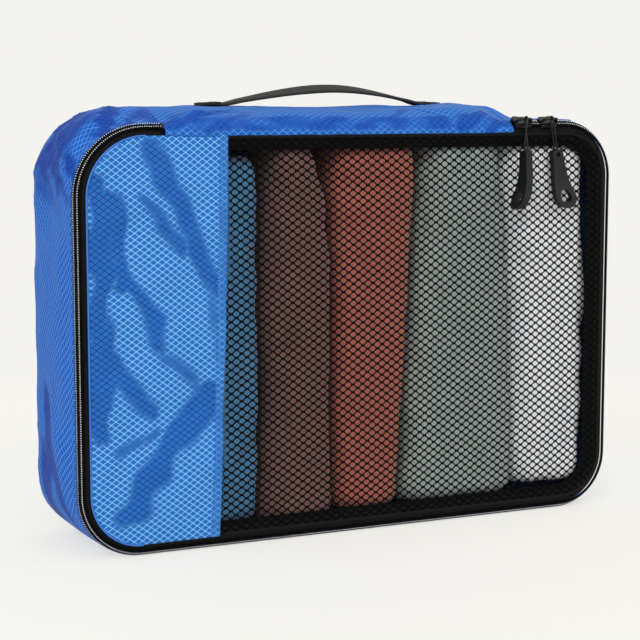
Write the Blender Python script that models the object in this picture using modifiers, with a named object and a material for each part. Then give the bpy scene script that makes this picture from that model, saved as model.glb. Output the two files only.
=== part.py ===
"""A soft packing cube with a mesh front that zips open on three sides.

Frame: +Z up, the mesh front faces -Y, the handle is on top, and the origin is the centre of the flat bottom wall.
All lengths are written in millimetres and multiplied by MM, because Blender works in metres.
"""

from math import cos, pi, radians, sin, sqrt

import bmesh
import bpy
from mathutils import Matrix, Vector

MM = 0.001

# Driving dimensions of the cube
WIDTH = 343.0
DEPTH = 80.0
FRONT_HEIGHT = 239.0
CROWN = 8.5
CORNER_RADIUS = 40.0
LOW_LEFT_RADIUS = 36.0
LOW_RIGHT_RADIUS = 33.0
CORNER_STEPS = 8
FABRIC = 1.0
GAP = 0.3

# Where the zip starts and stops on the top edge, and where the blue front panel meets the mesh
ZIP_LEFT_X = -119.0
ZIP_RIGHT_X = 104.0
PANEL_SPLIT_X = -85.0

# The zip lies round the front edge, on an arc seen in cross-section
ARC_INSET = 9.8
ARC_Y = -32.0
TAPE_R = 8.0
TAPE_THICK = 0.6
COIL_R = 9.9
COIL_THICK = 1.6
COIL_MID = 32.0
COIL_HALF = 14.0
COIL_SPLIT = 2.5
ROOT_ZIP_END = 77.0

# The flap panels and the fold line on which the flap turns
PANEL_INSET = 6.6
PANEL_Y = -40.9
PANEL_THICK = 0.6
HINGE_Y = -34.5
HINGE_Z = 243.8
SHOULDER = 22.0

# Sliders and pulls
SLIDER_LENGTH = 12.0
SLIDER_LEFT_X = 113.5
SLIDER_RIGHT_X = WIDTH / 2 - CORNER_RADIUS
CROWN_BAR_N = 7.0
CROWN_BAR_F = 3.8
LINK_LENGTH = 18.0
LINK_RADIUS = 1.45
LINK_WIRE = 0.45
PULL_LENGTH = 37.0
PULL_THICK = 1.4
PULL_BOW = 6.0
PULL_HOLE_R = 3.8
PULL_END_R = 6.2

# Handle
HANDLE_HALF_SPAN = 68.0
HANDLE_RISE = 8.5
HANDLE_RAMP = 32.0
HANDLE_WIDTH = 14.0
HANDLE_Y = 8.0
HANDLE_THICK = 1.6
HANDLE_LEAN = 10.0
ANCHOR_LENGTH = 10.0

TOP_Z = FRONT_HEIGHT + CROWN

MATERIALS = {
    "ripstop_blue": ((0.054, 0.19, 0.51, 1.0), 0.42, 0.0),
    "mesh_black": ((0.012, 0.013, 0.015, 1.0), 0.7, 0.0),
    "tape_black": ((0.012, 0.012, 0.013, 1.0), 0.75, 0.0),
    "coil_black": ((0.02, 0.02, 0.02, 1.0), 0.35, 0.0),
    "webbing_black": ((0.022, 0.02, 0.019, 1.0), 0.65, 0.0),
    "metal_black": ((0.02, 0.02, 0.022, 1.0), 0.38, 0.6),
    "grip_black": ((0.018, 0.018, 0.018, 1.0), 0.6, 0.0),
    "thread_black": ((0.03, 0.03, 0.03, 1.0), 0.6, 0.0),
}


def clear_scene():
    for obj in list(bpy.data.objects):
        bpy.data.objects.remove(obj, do_unlink=True)


def make_materials():
    made = {}
    for name, (colour, roughness, metallic) in MATERIALS.items():
        material = bpy.data.materials.new(name)
        material.use_nodes = True
        shader = material.node_tree.nodes["Principled BSDF"]
        shader.inputs["Base Color"].default_value = colour
        shader.inputs["Roughness"].default_value = roughness
        shader.inputs["Metallic"].default_value = metallic
        made[name] = material
    return made


clear_scene()
COLLECTION = bpy.data.collections.new("packing_cube")
bpy.context.scene.collection.children.link(COLLECTION)
CUTTERS = bpy.data.collections.new("cutters")
bpy.context.scene.collection.children.link(CUTTERS)
LOOKS = make_materials()


# Shared making functions


def add_object(name, data, look, parent=None, matrix=None):
    """Links a new object; its place is given in the cube's frame, whatever its parent."""
    obj = bpy.data.objects.new(name, data)
    COLLECTION.objects.link(obj)
    data.materials.append(LOOKS[look])
    obj.matrix_world = matrix or Matrix.Identity(4)
    if parent:
        obj.parent = parent
        obj.matrix_parent_inverse = parent.matrix_basis.inverted()
    return obj


def add_empty(name, x, y, z):
    empty = bpy.data.objects.new(name, None)
    empty.location = (x * MM, y * MM, z * MM)
    empty.empty_display_size = 10 * MM
    COLLECTION.objects.link(empty)
    return empty


def solidify(obj, thickness):
    """Thickens an open surface to its inner side."""
    modifier = obj.modifiers.new("thickness", "SOLIDIFY")
    modifier.thickness = thickness * MM
    modifier.offset = -1.0


def grid_mesh(name, rows):
    """A mesh of quads through rows of points, all rows the same length."""
    mesh = bpy.data.meshes.new(name)
    shape = bmesh.new()
    made = [[shape.verts.new([c * MM for c in point]) for point in row] for row in rows]
    for first, second in zip(made, made[1:]):
        for i in range(len(first) - 1):
            shape.faces.new((first[i], first[i + 1], second[i + 1], second[i]))
    shape.to_mesh(mesh)
    shape.free()
    mesh.shade_smooth()
    mesh.set_sharp_from_angle(angle=radians(40))
    return mesh


def perimeter_stations():
    """The way round the cube from the zip's left end: top, left, bottom, right and top again."""
    stations = [("top", ZIP_LEFT_X)]
    for corner in range(4):
        for step in range(CORNER_STEPS + 1):
            stations.append((corner, 90.0 * step / CORNER_STEPS))
    stations.append(("top", ZIP_RIGHT_X))
    return stations


def outline_point(station, inset, top):
    """The (x, z) of a station on the outline that lies this far inside the cube's, with its top edge at top."""
    where, value = station
    if where == "top":
        return value, top
    radius = (CORNER_RADIUS, LOW_LEFT_RADIUS, LOW_RIGHT_RADIUS, CORNER_RADIUS)[where] - inset
    half = WIDTH / 2 - inset
    centres = (
        (-half + radius, top - radius),
        (-half + radius, inset + radius),
        (half - radius, inset + radius),
        (half - radius, top - radius),
    )
    angle = radians((90, 180, 270, 0)[where] + value)
    x, z = centres[where]
    return x + radius * cos(angle), z + radius * sin(angle)


def band(name, sections, stations, thickness, look, parent=None):
    """A strip that runs round the cube. Each section is (y, inset, top), from the back to the front."""
    rows = []
    for y, inset, top in sections:
        points = [outline_point(station, inset, top) for station in stations]
        rows.append([(x, y, z) for x, z in points])
    obj = add_object(name, grid_mesh(name, rows), look, parent)
    solidify(obj, thickness)
    return obj


def plate(name, outlines, y_front, thickness, look, parent=None):
    """A flat sheet in the XZ plane. outlines[0] is its edge and the others are openings, as lists of (x, z)."""
    curve = bpy.data.curves.new(name, "CURVE")
    curve.dimensions = "2D"
    curve.fill_mode = "BOTH"
    curve.extrude = thickness / 2 * MM
    for outline in outlines:
        spline = curve.splines.new("POLY")
        spline.points.add(len(outline) - 1)
        spline.use_cyclic_u = True
        for point, (x, z) in zip(spline.points, outline):
            point.co = (x * MM, z * MM, 0.0, 1.0)
    upright = Matrix.Translation((0, (y_front + thickness / 2) * MM, 0)) @ Matrix.Rotation(pi / 2, 4, "X")
    return add_object(name, curve, look, parent, upright)


def rounded_rectangle(inset, top):
    stations = [s for s in perimeter_stations() if s[0] != "top"]
    return [outline_point(station, inset, top) for station in stations]


def box(name, low, high, look, parent=None, bevel=0.0, matrix=None):
    """A block between two corners, with its edges rounded."""
    mesh = bpy.data.meshes.new(name)
    shape = bmesh.new()
    bmesh.ops.create_cube(shape, size=1.0)
    for vert in shape.verts:
        vert.co = Vector([(low[i] + high[i]) / 2 + vert.co[i] * (high[i] - low[i]) for i in range(3)]) * MM
    shape.to_mesh(mesh)
    shape.free()
    obj = add_object(name, mesh, look, parent, matrix)
    if bevel:
        modifier = obj.modifiers.new("rounded_edges", "BEVEL")
        modifier.width = bevel * MM
        modifier.segments = 2
    return obj


# Cross-sections of the walls and of the zip


def back_edge(angle):
    """(y, inset) on the rounded back edge, 0 degrees where it leaves the wall."""
    radius = 6.0
    return DEPTH / 2 - radius + radius * sin(radians(angle)), radius * (1 - cos(radians(angle)))


def side_crown(y):
    """How far the top of the side wall stands above the front outline at this depth."""
    share = min(1.0, max(0.0, (y + 29.5) / 29.5))
    back_drop = 3.0 * max(0.0, (y - 20.0) / 20.0)
    return CROWN * sin(share * pi / 2) - back_drop


def zip_section(angle, radius):
    """(y, inset, top) on the arc that the zip follows, 0 degrees facing out of the side wall."""
    inset = ARC_INSET - radius * cos(radians(angle))
    return ARC_Y - radius * sin(radians(angle)), inset, FRONT_HEIGHT - inset


def zip_arc(start, stop, radius, steps):
    return [zip_section(start + (stop - start) * k / steps, radius) for k in range(steps + 1)]


def stations_to(end):
    """The perimeter up to this many degrees of the last corner."""
    kept = [s for s in perimeter_stations() if s[0] != "top" and (s[0] < 3 or s[1] < end)]
    return [("top", ZIP_LEFT_X - 2.6)] + kept + [(3, end)]


def stations_from(start):
    kept = [s for s in perimeter_stations() if s[0] == 3 and s[1] > start]
    return [(3, start)] + kept + [("top", ZIP_RIGHT_X)]


# The shell: everything that stays still


def make_side_wall():
    """One strip of ripstop round the left, bottom and right, with both top corners."""
    sections = []
    for angle in (80, 55, 28, 0):
        y, inset = back_edge(angle)
        sections.append((y, inset, FRONT_HEIGHT + side_crown(y) - inset))
    for y in (20.0, 0.0, -12.0, -22.0, -29.5):
        sections.append((y, 0.0, FRONT_HEIGHT + side_crown(y)))
    band("side_wall", sections, perimeter_stations(), FABRIC, "ripstop_blue")


def end_share(x):
    """0 where the top wall meets the side wall, 1 where it has its full height at the front."""
    from_end = min(x - ZIP_LEFT_X, ZIP_RIGHT_X - x)
    share = min(1.0, max(0.0, from_end / SHOULDER))
    return share * share * (3.0 - 2.0 * share)


def blended_rows(low_profile, full_profile):
    """Rows of points from right to left, each between the (y, z) of its low and its full profile."""
    steps = [GAP + SHOULDER * k / 5 for k in range(6)]
    xs = [ZIP_RIGHT_X - step for step in steps] + [ZIP_LEFT_X + step for step in reversed(steps)]
    rows = []
    for low, full in zip(low_profile, full_profile):
        row = []
        for x in xs:
            share = end_share(x)
            row.append((x, low[0] + (full[0] - low[0]) * share, low[1] + (full[1] - low[1]) * share))
        rows.append(row)
    return rows


def make_top_wall():
    """The ripstop strip that carries the handle, between the two ends of the zip."""
    low = []
    for angle in (80, 55, 28, 0):
        y, inset = back_edge(angle)
        low.append((y, FRONT_HEIGHT + side_crown(y) - inset))
    full = low + [(20.0, TOP_Z), (0.0, TOP_Z), (-12.0, 247.3), (-22.0, 246.6), (-29.0, 245.6), (HINGE_Y + 0.9, 244.4)]
    low += [(y, FRONT_HEIGHT + side_crown(y)) for y in (20.0, 0.0, -12.0, -22.0, -29.0)]
    low.append((HINGE_Y + 1.4, FRONT_HEIGHT))
    obj = add_object("top_wall", grid_mesh("top_wall", blended_rows(low, full)), "ripstop_blue")
    solidify(obj, FABRIC)


def back_outline(inset):
    return rounded_rectangle(inset, FRONT_HEIGHT + side_crown(DEPTH / 2) - inset)


def make_back():
    """The back panel, and the tape that binds its seam on the inside."""
    plate("back_panel", [back_outline(5.6)], DEPTH / 2 - 1.2, 1.2, "ripstop_blue")
    plate("back_seam_binding", [back_outline(6.6), back_outline(7.8)], 28.5, 9.9, "tape_black")


def make_wall_seam_tapes():
    """Tapes that bind the two seams between the side wall and the top wall on the inside."""
    for name, x in (("seam_tape_left", ZIP_LEFT_X), ("seam_tape_right", ZIP_RIGHT_X)):
        profile = [(y, FRONT_HEIGHT + side_crown(y) - FABRIC - GAP) for y in (27.0, 20.0, 10.0, 0.0)]
        rows = [[(x + 5.0, y, z), (x - 5.0, y, z)] for y, z in profile]
        solidify(add_object(name, grid_mesh(name, rows), "tape_black"), 0.8)


def make_wall_zip_half():
    """The half of the zip that is sewn to the walls: its tape and its coil."""
    stations = stations_to(ROOT_ZIP_END)
    lap = [(-26.5, ARC_INSET - TAPE_R, FRONT_HEIGHT - ARC_INSET + TAPE_R)]
    tape = lap + zip_arc(0, COIL_MID - COIL_SPLIT, TAPE_R, 3)
    band("zip_tape_wall", tape, stations, TAPE_THICK, "tape_black")
    coil = zip_arc(COIL_MID - COIL_HALF, COIL_MID - COIL_SPLIT, COIL_R, 1)
    band("zip_coil_wall", coil, stations, COIL_THICK, "coil_black")


# The flap: the front panels, their edges and the half of the zip that opens with them


def make_panels(flap):
    top = FRONT_HEIGHT - PANEL_INSET
    edge = rounded_rectangle(PANEL_INSET, top)
    half = len(edge) // 2
    solid = [(PANEL_SPLIT_X - GAP, top)] + edge[:half] + [(PANEL_SPLIT_X - GAP, PANEL_INSET)]
    mesh = [(PANEL_SPLIT_X, PANEL_INSET)] + edge[half:] + [(PANEL_SPLIT_X, top)]
    plate("front_solid_panel", [solid], PANEL_Y, PANEL_THICK, "ripstop_blue", flap)
    plate("front_mesh_panel", [mesh], PANEL_Y, PANEL_THICK, "mesh_black", flap)
    low = (PANEL_SPLIT_X - 4.5, PANEL_Y - GAP - 0.6, PANEL_INSET + 1.0)
    high = (PANEL_SPLIT_X + 0.8, PANEL_Y - GAP, top - 1.0)
    box("panel_hem", low, high, "ripstop_blue", flap, 0.2)
    inner = [rounded_rectangle(inset, FRONT_HEIGHT - inset) for inset in (12.6, 13.8)]
    plate("flap_seam_binding", inner, -39.0, 6.5, "tape_black", flap)


def make_hinge_strip(flap):
    """The front-facing part of the top fabric, which folds up with the flap."""
    full = [(HINGE_Y - 0.5, 243.6), (-37.6, 242.0), (-39.9, 239.2), (PANEL_Y, FRONT_HEIGHT - 6.1)]
    edge = FRONT_HEIGHT - 6.1
    low = [(HINGE_Y + 0.5, edge + 5.9), (-37.3, edge + 4.7), (-39.8, edge + 2.7), (PANEL_Y, edge)]
    obj = add_object("hinge_strip", grid_mesh("hinge_strip", blended_rows(low, full)), "ripstop_blue", flap)
    solidify(obj, 0.8)


def make_flap_zip_half(flap):
    """The flap's zip tape and coil, and the closed end of the zip that the sliders are parked on."""
    stations = perimeter_stations()
    tape = zip_arc(COIL_MID + COIL_SPLIT, 90, TAPE_R, 5)
    inner_edge = 12.8
    tape.append((ARC_Y - TAPE_R, inner_edge, FRONT_HEIGHT - inner_edge))
    band("zip_tape_flap", tape, stations, TAPE_THICK, "tape_black", flap)
    coil = zip_arc(COIL_MID + COIL_SPLIT, COIL_MID + COIL_HALF, COIL_R, 1)
    coil_stations = [("top", ZIP_LEFT_X - 2.6)] + stations[1:-1] + [("top", ZIP_RIGHT_X + 2.6)]
    band("zip_coil_flap", coil, coil_stations, COIL_THICK, "coil_black", flap)

    end = stations_from(ROOT_ZIP_END + 1.0)
    end_tape = [(-30.5, ARC_INSET - TAPE_R, FRONT_HEIGHT - ARC_INSET + TAPE_R)]
    end_tape += zip_arc(0, COIL_MID - COIL_SPLIT, TAPE_R, 3)
    band("zip_end_tape", end_tape, end, TAPE_THICK, "tape_black", flap)
    end_coil = zip_arc(COIL_MID - COIL_HALF, COIL_MID - COIL_SPLIT, COIL_R, 1)
    band("zip_end_coil", end_coil, end[:-1] + [("top", ZIP_RIGHT_X + 2.6)], COIL_THICK, "coil_black", flap)


def zip_frame(x):
    """The frame of a slider on the top edge: X along the zip, Y towards the flap, Z out of the zip."""
    centre_y, _, centre_z = zip_section(COIL_MID, COIL_R - COIL_THICK)
    tilt = radians(COIL_MID)
    out = Vector((0, -sin(tilt), cos(tilt)))
    towards_flap = Vector((0, -cos(tilt), -sin(tilt)))
    turned = Matrix((Vector((-1, 0, 0)), towards_flap, out)).transposed().to_4x4()
    return Matrix.Translation(Vector((x, centre_y, centre_z)) * MM) @ turned


def make_zip_stops(flap):
    """The stops that close the two ends of the zip."""
    for name, x in (("zip_stop_left", ZIP_LEFT_X - 1.1), ("zip_stop_right", ZIP_RIGHT_X + 1.1)):
        box(name, (-1.1, -2.4, 0.05), (1.1, 2.4, 1.9), "metal_black", flap, 0.3, zip_frame(x))


# The sliders and their pulls


def make_slider(name, x, parent):
    """The upper wing with its two lips, the lower wing inside the cube, and the crown that holds the pull."""
    frame = zip_frame(x)
    half = SLIDER_LENGTH / 2
    wing = [(-3.6, 3.0), (-3.6, 0.3), (-3.0, 0.3), (-3.0, 2.0), (3.0, 2.0), (3.0, 0.3), (3.6, 0.3), (3.6, 3.0)]
    curve = bpy.data.curves.new(f"{name}_upper_wing", "CURVE")
    curve.dimensions = "2D"
    curve.fill_mode = "BOTH"
    curve.extrude = half * MM
    spline = curve.splines.new("POLY")
    spline.points.add(len(wing) - 1)
    spline.use_cyclic_u = True
    for point, (across, out) in zip(spline.points, wing):
        point.co = (across * MM, out * MM, 0.0, 1.0)
    across_to_y = Matrix(((0, 0, 1, 0), (1, 0, 0, 0), (0, 1, 0, 0), (0, 0, 0, 1)))
    add_object(f"{name}_upper_wing", curve, "metal_black", parent, frame @ across_to_y)
    box(f"{name}_lower_wing", (-half, -3.0, -3.4), (half, 3.0, -2.4), "metal_black", parent, 0.3, frame)

    legs = ((-4.8, 1.4, 3.9), (-4.5, 2.6, 5.7), (-3.2, CROWN_BAR_F, CROWN_BAR_N))
    route = legs + tuple((-x_leg, f, n) for x_leg, f, n in reversed(legs))
    wire(f"{name}_crown", route, 0.55, "metal_black", parent, False, frame)


def wire(name, route, radius, look, parent, closed, matrix=None):
    """A bent wire through these points."""
    curve = bpy.data.curves.new(name, "CURVE")
    curve.dimensions = "3D"
    curve.bevel_depth = radius * MM
    curve.bevel_resolution = 2
    curve.use_fill_caps = True
    spline = curve.splines.new("POLY")
    spline.points.add(len(route) - 1)
    spline.use_cyclic_u = closed
    for point, place in zip(spline.points, route):
        point.co = (*[c * MM for c in place], 1.0)
    return add_object(name, curve, look, parent, matrix)


def link_route(twist):
    """A long loop of wire hanging from the origin. Its lower end is turned by twist from the plane of its upper end."""
    reach = LINK_LENGTH - 2 * (LINK_RADIUS + LINK_WIRE)
    steps = 6
    loop = [(LINK_RADIUS * cos(pi * k / steps), LINK_RADIUS * sin(pi * k / steps)) for k in range(steps + 1)]
    upper = [(across, height) for across, height in loop]
    lower = [(-across, -height - reach) for across, height in loop]
    side = [-reach * k / 5 for k in range(1, 5)]
    flat = upper + [(-LINK_RADIUS, z) for z in side] + lower + [(LINK_RADIUS, z) for z in reversed(side)]
    route = []
    for across, z in flat:
        turn = twist * min(1.0, max(0.0, -z / reach))
        route.append((across * sin(turn), across * cos(turn), z))
    return route


def pull_half_width(down):
    """Half the tab's width at this distance below its top end."""
    share = min(1.0, max(0.0, down / (PULL_LENGTH - PULL_END_R)))
    return 2.9 + (PULL_END_R - 2.9) * share * share


def pull_outline():
    """The tab's outline: a rounded top, sides that widen, and a round end."""
    steps = 8
    downs = [2.9 + (PULL_LENGTH - PULL_END_R - 2.9) * k / 6 for k in range(7)]
    right = [(pull_half_width(d), -d) for d in downs]
    top = [(-2.9 * cos(pi * k / steps), -2.9 + 2.9 * sin(pi * k / steps)) for k in range(1, steps)]
    low = -(PULL_LENGTH - PULL_END_R)
    bottom = [(PULL_END_R * cos(pi * k / steps), low - PULL_END_R * sin(pi * k / steps)) for k in range(1, steps)]
    left = [(-across, z) for across, z in reversed(right)]
    return right + bottom + left + top


def circle(x, z, radius, steps):
    return [(x + radius * cos(2 * pi * k / steps), z + radius * sin(2 * pi * k / steps)) for k in range(steps)]


def flat_tab(outlines, thickness):
    """The mesh of a flat plate in the XZ plane, cut into bands along its length so that it can be bent."""
    curve = bpy.data.curves.new("tab_outline", "CURVE")
    curve.dimensions = "2D"
    curve.fill_mode = "BOTH"
    curve.extrude = thickness / 2 * MM
    for outline in outlines:
        spline = curve.splines.new("POLY")
        spline.points.add(len(outline) - 1)
        spline.use_cyclic_u = True
        for point, (x, z) in zip(spline.points, outline):
            point.co = (x * MM, z * MM, 0.0, 1.0)
    holder = bpy.data.objects.new("tab_outline", curve)
    COLLECTION.objects.link(holder)
    graph = bpy.context.evaluated_depsgraph_get()
    mesh = bpy.data.meshes.new_from_object(holder.evaluated_get(graph))
    bpy.data.objects.remove(holder)
    shape = bmesh.new()
    shape.from_mesh(mesh)
    bmesh.ops.remove_doubles(shape, verts=shape.verts, dist=0.01 * MM)
    for step in range(1, 10):
        cut = -PULL_LENGTH * step / 10 * MM
        bmesh.ops.bisect_plane(
            shape, geom=shape.verts[:] + shape.edges[:] + shape.faces[:], plane_co=(0, cut, 0), plane_no=(0, 1, 0)
        )
    bmesh.ops.triangulate(shape, faces=shape.faces)
    bmesh.ops.transform(shape, matrix=Matrix.Rotation(pi / 2, 4, "X"), verts=shape.verts)
    shape.to_mesh(mesh)
    shape.free()
    return mesh


def make_pull(name, parent, pivot, lean, twist):
    """The wire link and the bowed tab that hangs on it. twist turns the tab about its length."""
    frame = Matrix.Translation(Vector(pivot) * MM) @ Matrix.Rotation(radians(lean), 4, "X")
    wire(f"{name}_link", link_route(radians(twist)), LINK_WIRE, "metal_black", parent, True, frame)
    hole_r = 1.35
    hole_down = 2.7
    reach = LINK_LENGTH - 2 * (LINK_RADIUS + LINK_WIRE)
    tab_top = -reach - LINK_RADIUS + hole_down
    low = -(PULL_LENGTH - PULL_END_R)
    outlines = [pull_outline(), circle(0, -hole_down, hole_r, 10), circle(0, low, PULL_HOLE_R, 16)]
    mesh = flat_tab(outlines, PULL_THICK)
    for vert in mesh.vertices:
        share = min(0.0, vert.co.z) / (-PULL_LENGTH * MM)
        bend = max(0.0, share - 0.35) / 0.65
        vert.co.y -= PULL_BOW * MM * bend * bend
    drop = Matrix.Translation((0, 0, tab_top * MM)) @ Matrix.Rotation(radians(-twist), 4, "Z")
    add_object(f"{name}_tab", mesh, "grip_black", parent, frame @ drop)


def make_sliders(flap):
    """Two sliders parked at the zip's right end. The right one can follow the corner round its centre."""
    corner_x = WIDTH / 2 - CORNER_RADIUS
    _, _, centre_z = zip_section(COIL_MID, COIL_R - COIL_THICK)
    axis_right = add_empty("axis_slider_right", corner_x, 0.0, FRONT_HEIGHT - CORNER_RADIUS)
    for name, x, parent, lean, twist in (
        ("left", SLIDER_LEFT_X, flap, -5.5, 62.0),
        ("right", SLIDER_RIGHT_X, axis_right, 0.0, 0.0),
    ):
        make_slider(f"slider_{name}", x, parent)
        pivot = zip_frame(x) @ Vector((0, CROWN_BAR_F * MM, CROWN_BAR_N * MM))
        axis = add_empty(f"axis_pull_{name}", *[c / MM for c in pivot])
        make_pull(f"pull_{name}", axis, [c / MM for c in pivot], lean, twist)


# The handle


def handle_height(x):
    """Height of the strap's middle above its sewn ends."""
    share = min(1.0, (HANDLE_HALF_SPAN - abs(x)) / HANDLE_RAMP)
    return HANDLE_RISE * share * share * (3.0 - 2.0 * share)


def make_handle():
    """The arched webbing strap, its two ends sewn flat on the top wall, and the bar tacks that hold them."""
    base = TOP_Z + GAP
    axis = add_empty("axis_handle", 0, HANDLE_Y, base + HANDLE_THICK / 2)
    steps = 18
    xs = [HANDLE_HALF_SPAN * (2 * k / steps - 1) for k in range(steps + 1)]
    rows = []
    lean = radians(HANDLE_LEAN)
    for x in xs:
        height = handle_height(x)
        roll = lean * height / HANDLE_RISE
        middle_y = HANDLE_Y - height * sin(lean)
        middle_z = base + HANDLE_THICK + height * cos(lean)
        half = HANDLE_WIDTH / 2
        rows.append([(x, middle_y + side * half * cos(roll), middle_z + side * half * sin(roll)) for side in (-1, 0, 1)])
    strap = add_object("handle_strap", grid_mesh("handle_strap", rows), "webbing_black", axis)
    solidify(strap, -HANDLE_THICK)
    for side, sign in (("left", -1), ("right", 1)):
        near = sign * (HANDLE_HALF_SPAN + GAP)
        far = sign * (HANDLE_HALF_SPAN + ANCHOR_LENGTH)
        low = (min(near, far), HANDLE_Y - HANDLE_WIDTH / 2, base)
        high = (max(near, far), HANDLE_Y + HANDLE_WIDTH / 2, base + 2.4)
        box(f"handle_end_{side}", low, high, "webbing_black", None, 0.5)
        tack_x = sign * (HANDLE_HALF_SPAN + 5.0)
        low = (tack_x - 1.2, HANDLE_Y - HANDLE_WIDTH / 2 + 1.5, base + 2.4 + GAP)
        high = (tack_x + 1.2, HANDLE_Y + HANDLE_WIDTH / 2 - 1.5, base + 2.4 + GAP + 0.5)
        box(f"bar_tack_{side}", low, high, "thread_black", None, 0.15)


def main():
    make_side_wall()
    make_top_wall()
    make_back()
    make_wall_seam_tapes()
    make_wall_zip_half()
    flap = add_empty("axis_flap", 0, HINGE_Y, HINGE_Z)
    make_panels(flap)
    make_hinge_strip(flap)
    make_flap_zip_half(flap)
    make_zip_stops(flap)
    make_sliders(flap)
    make_handle()


main()
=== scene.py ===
"""The packing cube's visual model: fabric, net, zip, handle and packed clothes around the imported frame."""

from math import cos, pi, radians, sin, sqrt

import bmesh
import bpy
import numpy as np
from mathutils import Matrix, Vector, noise


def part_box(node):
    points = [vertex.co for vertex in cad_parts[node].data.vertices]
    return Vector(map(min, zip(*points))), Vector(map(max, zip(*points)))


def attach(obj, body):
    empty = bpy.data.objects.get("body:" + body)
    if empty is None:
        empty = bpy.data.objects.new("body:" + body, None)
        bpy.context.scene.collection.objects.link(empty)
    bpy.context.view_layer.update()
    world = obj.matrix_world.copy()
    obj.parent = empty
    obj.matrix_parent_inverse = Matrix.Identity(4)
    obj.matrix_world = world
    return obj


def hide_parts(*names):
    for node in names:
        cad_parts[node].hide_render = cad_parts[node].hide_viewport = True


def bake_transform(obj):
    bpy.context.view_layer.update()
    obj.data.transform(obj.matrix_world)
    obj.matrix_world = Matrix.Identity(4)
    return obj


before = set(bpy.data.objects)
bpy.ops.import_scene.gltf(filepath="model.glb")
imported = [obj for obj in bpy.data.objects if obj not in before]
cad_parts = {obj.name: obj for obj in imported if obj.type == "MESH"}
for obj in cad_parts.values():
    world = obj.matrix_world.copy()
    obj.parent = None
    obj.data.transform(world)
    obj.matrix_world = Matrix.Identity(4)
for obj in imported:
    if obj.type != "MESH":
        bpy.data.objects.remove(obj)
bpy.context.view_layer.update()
MM = 0.001

# Sizes shared with the frame, in millimetres
WALL_LOW, WALL_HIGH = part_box("side_wall")
WIDTH = (WALL_HIGH.x - WALL_LOW.x) / MM
TOP_Z = WALL_HIGH.z / MM
CROWN = 8.5
FRONT_HEIGHT = TOP_Z - CROWN
RADII = (40.0, 36.0, 33.0, 34.0)  # top left, bottom left, bottom right, top right
ZIP_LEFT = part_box("top_wall")[0].x / MM - 0.3
ZIP_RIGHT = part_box("top_wall")[1].x / MM - 4.2
PANEL_INSET = 6.6
PANEL_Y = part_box("front_mesh_panel")[0].y / MM
ARC_INSET = 9.8
ARC_Y = -32.0
TAPE_R = 8.0
COIL_R = 9.2
COIL_MID = 32.0
BACK_Y = 40.0


def mix(a, b, t):
    return a + (b - a) * t


def smooth(t):
    t = np.clip(t, 0.0, 1.0)
    return t * t * (3.0 - 2.0 * t)


def hump(x, centre, width):
    return np.exp(-(((x - centre) / width) ** 2))


def noise2(a, b, seed):
    """Smooth noise of two coordinates, about -1 to 1, for arrays of any shape."""
    a, b = np.broadcast_arrays(np.asarray(a, float), np.asarray(b, float))
    flat = [noise.noise(Vector((p, q, seed * 7.3))) for p, q in zip(a.ravel(), b.ravel())]
    return np.array(flat).reshape(a.shape) * 1.6


# Materials


class Look:
    """A small helper that builds a node material round one Principled BSDF."""

    def __init__(self, name, roughness, metallic=0.0, specular=0.4, sheen=0.0):
        self.material = bpy.data.materials.new(name)
        self.material.use_nodes = True
        self.tree = self.material.node_tree
        self.shader = self.tree.nodes["Principled BSDF"]
        self.shader.inputs["Roughness"].default_value = roughness
        self.shader.inputs["Metallic"].default_value = metallic
        self.shader.inputs["Specular IOR Level"].default_value = specular
        self.shader.inputs["Sheen Weight"].default_value = sheen

    def node(self, kind, **values):
        made = self.tree.nodes.new(kind)
        for key, value in values.items():
            setattr(made, key, value)
        return made

    def link(self, source, target):
        self.tree.links.new(source, target)

    def feed(self, socket, value):
        if isinstance(value, bpy.types.NodeSocket):
            self.link(value, socket)
        else:
            socket.default_value = value

    def math(self, operation, a, b):
        made = self.node("ShaderNodeMath", operation=operation)
        self.feed(made.inputs[0], a)
        self.feed(made.inputs[1], b)
        return made.outputs[0]

    def times(self, a, b):
        return self.math("MULTIPLY", a, b)

    def plus(self, a, b):
        return self.math("ADD", a, b)

    def uv(self):
        made = self.node("ShaderNodeSeparateXYZ")
        self.link(self.node("ShaderNodeTexCoord").outputs["UV"], made.inputs[0])
        return made.outputs["X"], made.outputs["Y"]

    def noise_at(self, vector, scale, detail):
        made = self.node("ShaderNodeTexNoise")
        made.inputs["Scale"].default_value = scale
        made.inputs["Detail"].default_value = detail
        self.link(vector, made.inputs["Vector"])
        return made.outputs[0]

    def object_noise(self, scale, detail, stretch=(1, 1, 1)):
        mapping = self.node("ShaderNodeMapping")
        mapping.inputs["Scale"].default_value = stretch
        self.link(self.node("ShaderNodeTexCoord").outputs["Object"], mapping.inputs["Vector"])
        return self.noise_at(mapping.outputs[0], scale, detail)

    def blend(self, share, a, b):
        made = self.node("ShaderNodeMix", data_type="RGBA")
        self.feed(made.inputs[0], share)
        self.feed(made.inputs[6], a)
        self.feed(made.inputs[7], b)
        return made.outputs[2]

    def step(self, value, low, high):
        """0 below low, 1 above high."""
        made = self.node("ShaderNodeMapRange", interpolation_type="SMOOTHSTEP")
        self.feed(made.inputs["Value"], value)
        made.inputs["From Min"].default_value = low
        made.inputs["From Max"].default_value = high
        return made.outputs[0]

    def colour(self, value):
        self.feed(self.shader.inputs["Base Color"], value)

    def bump(self, height, distance, strength):
        made = self.node("ShaderNodeBump")
        made.inputs["Distance"].default_value = distance
        made.inputs["Strength"].default_value = strength
        self.link(height, made.inputs["Height"])
        self.link(made.outputs[0], self.shader.inputs["Normal"])


def rgb(r, g, b):
    """Linear colour from 0-255 display values."""
    return tuple(((c / 255 + 0.055) / 1.055) ** 2.4 if c > 10 else c / 3294.6 for c in (r, g, b)) + (1.0,)


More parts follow.
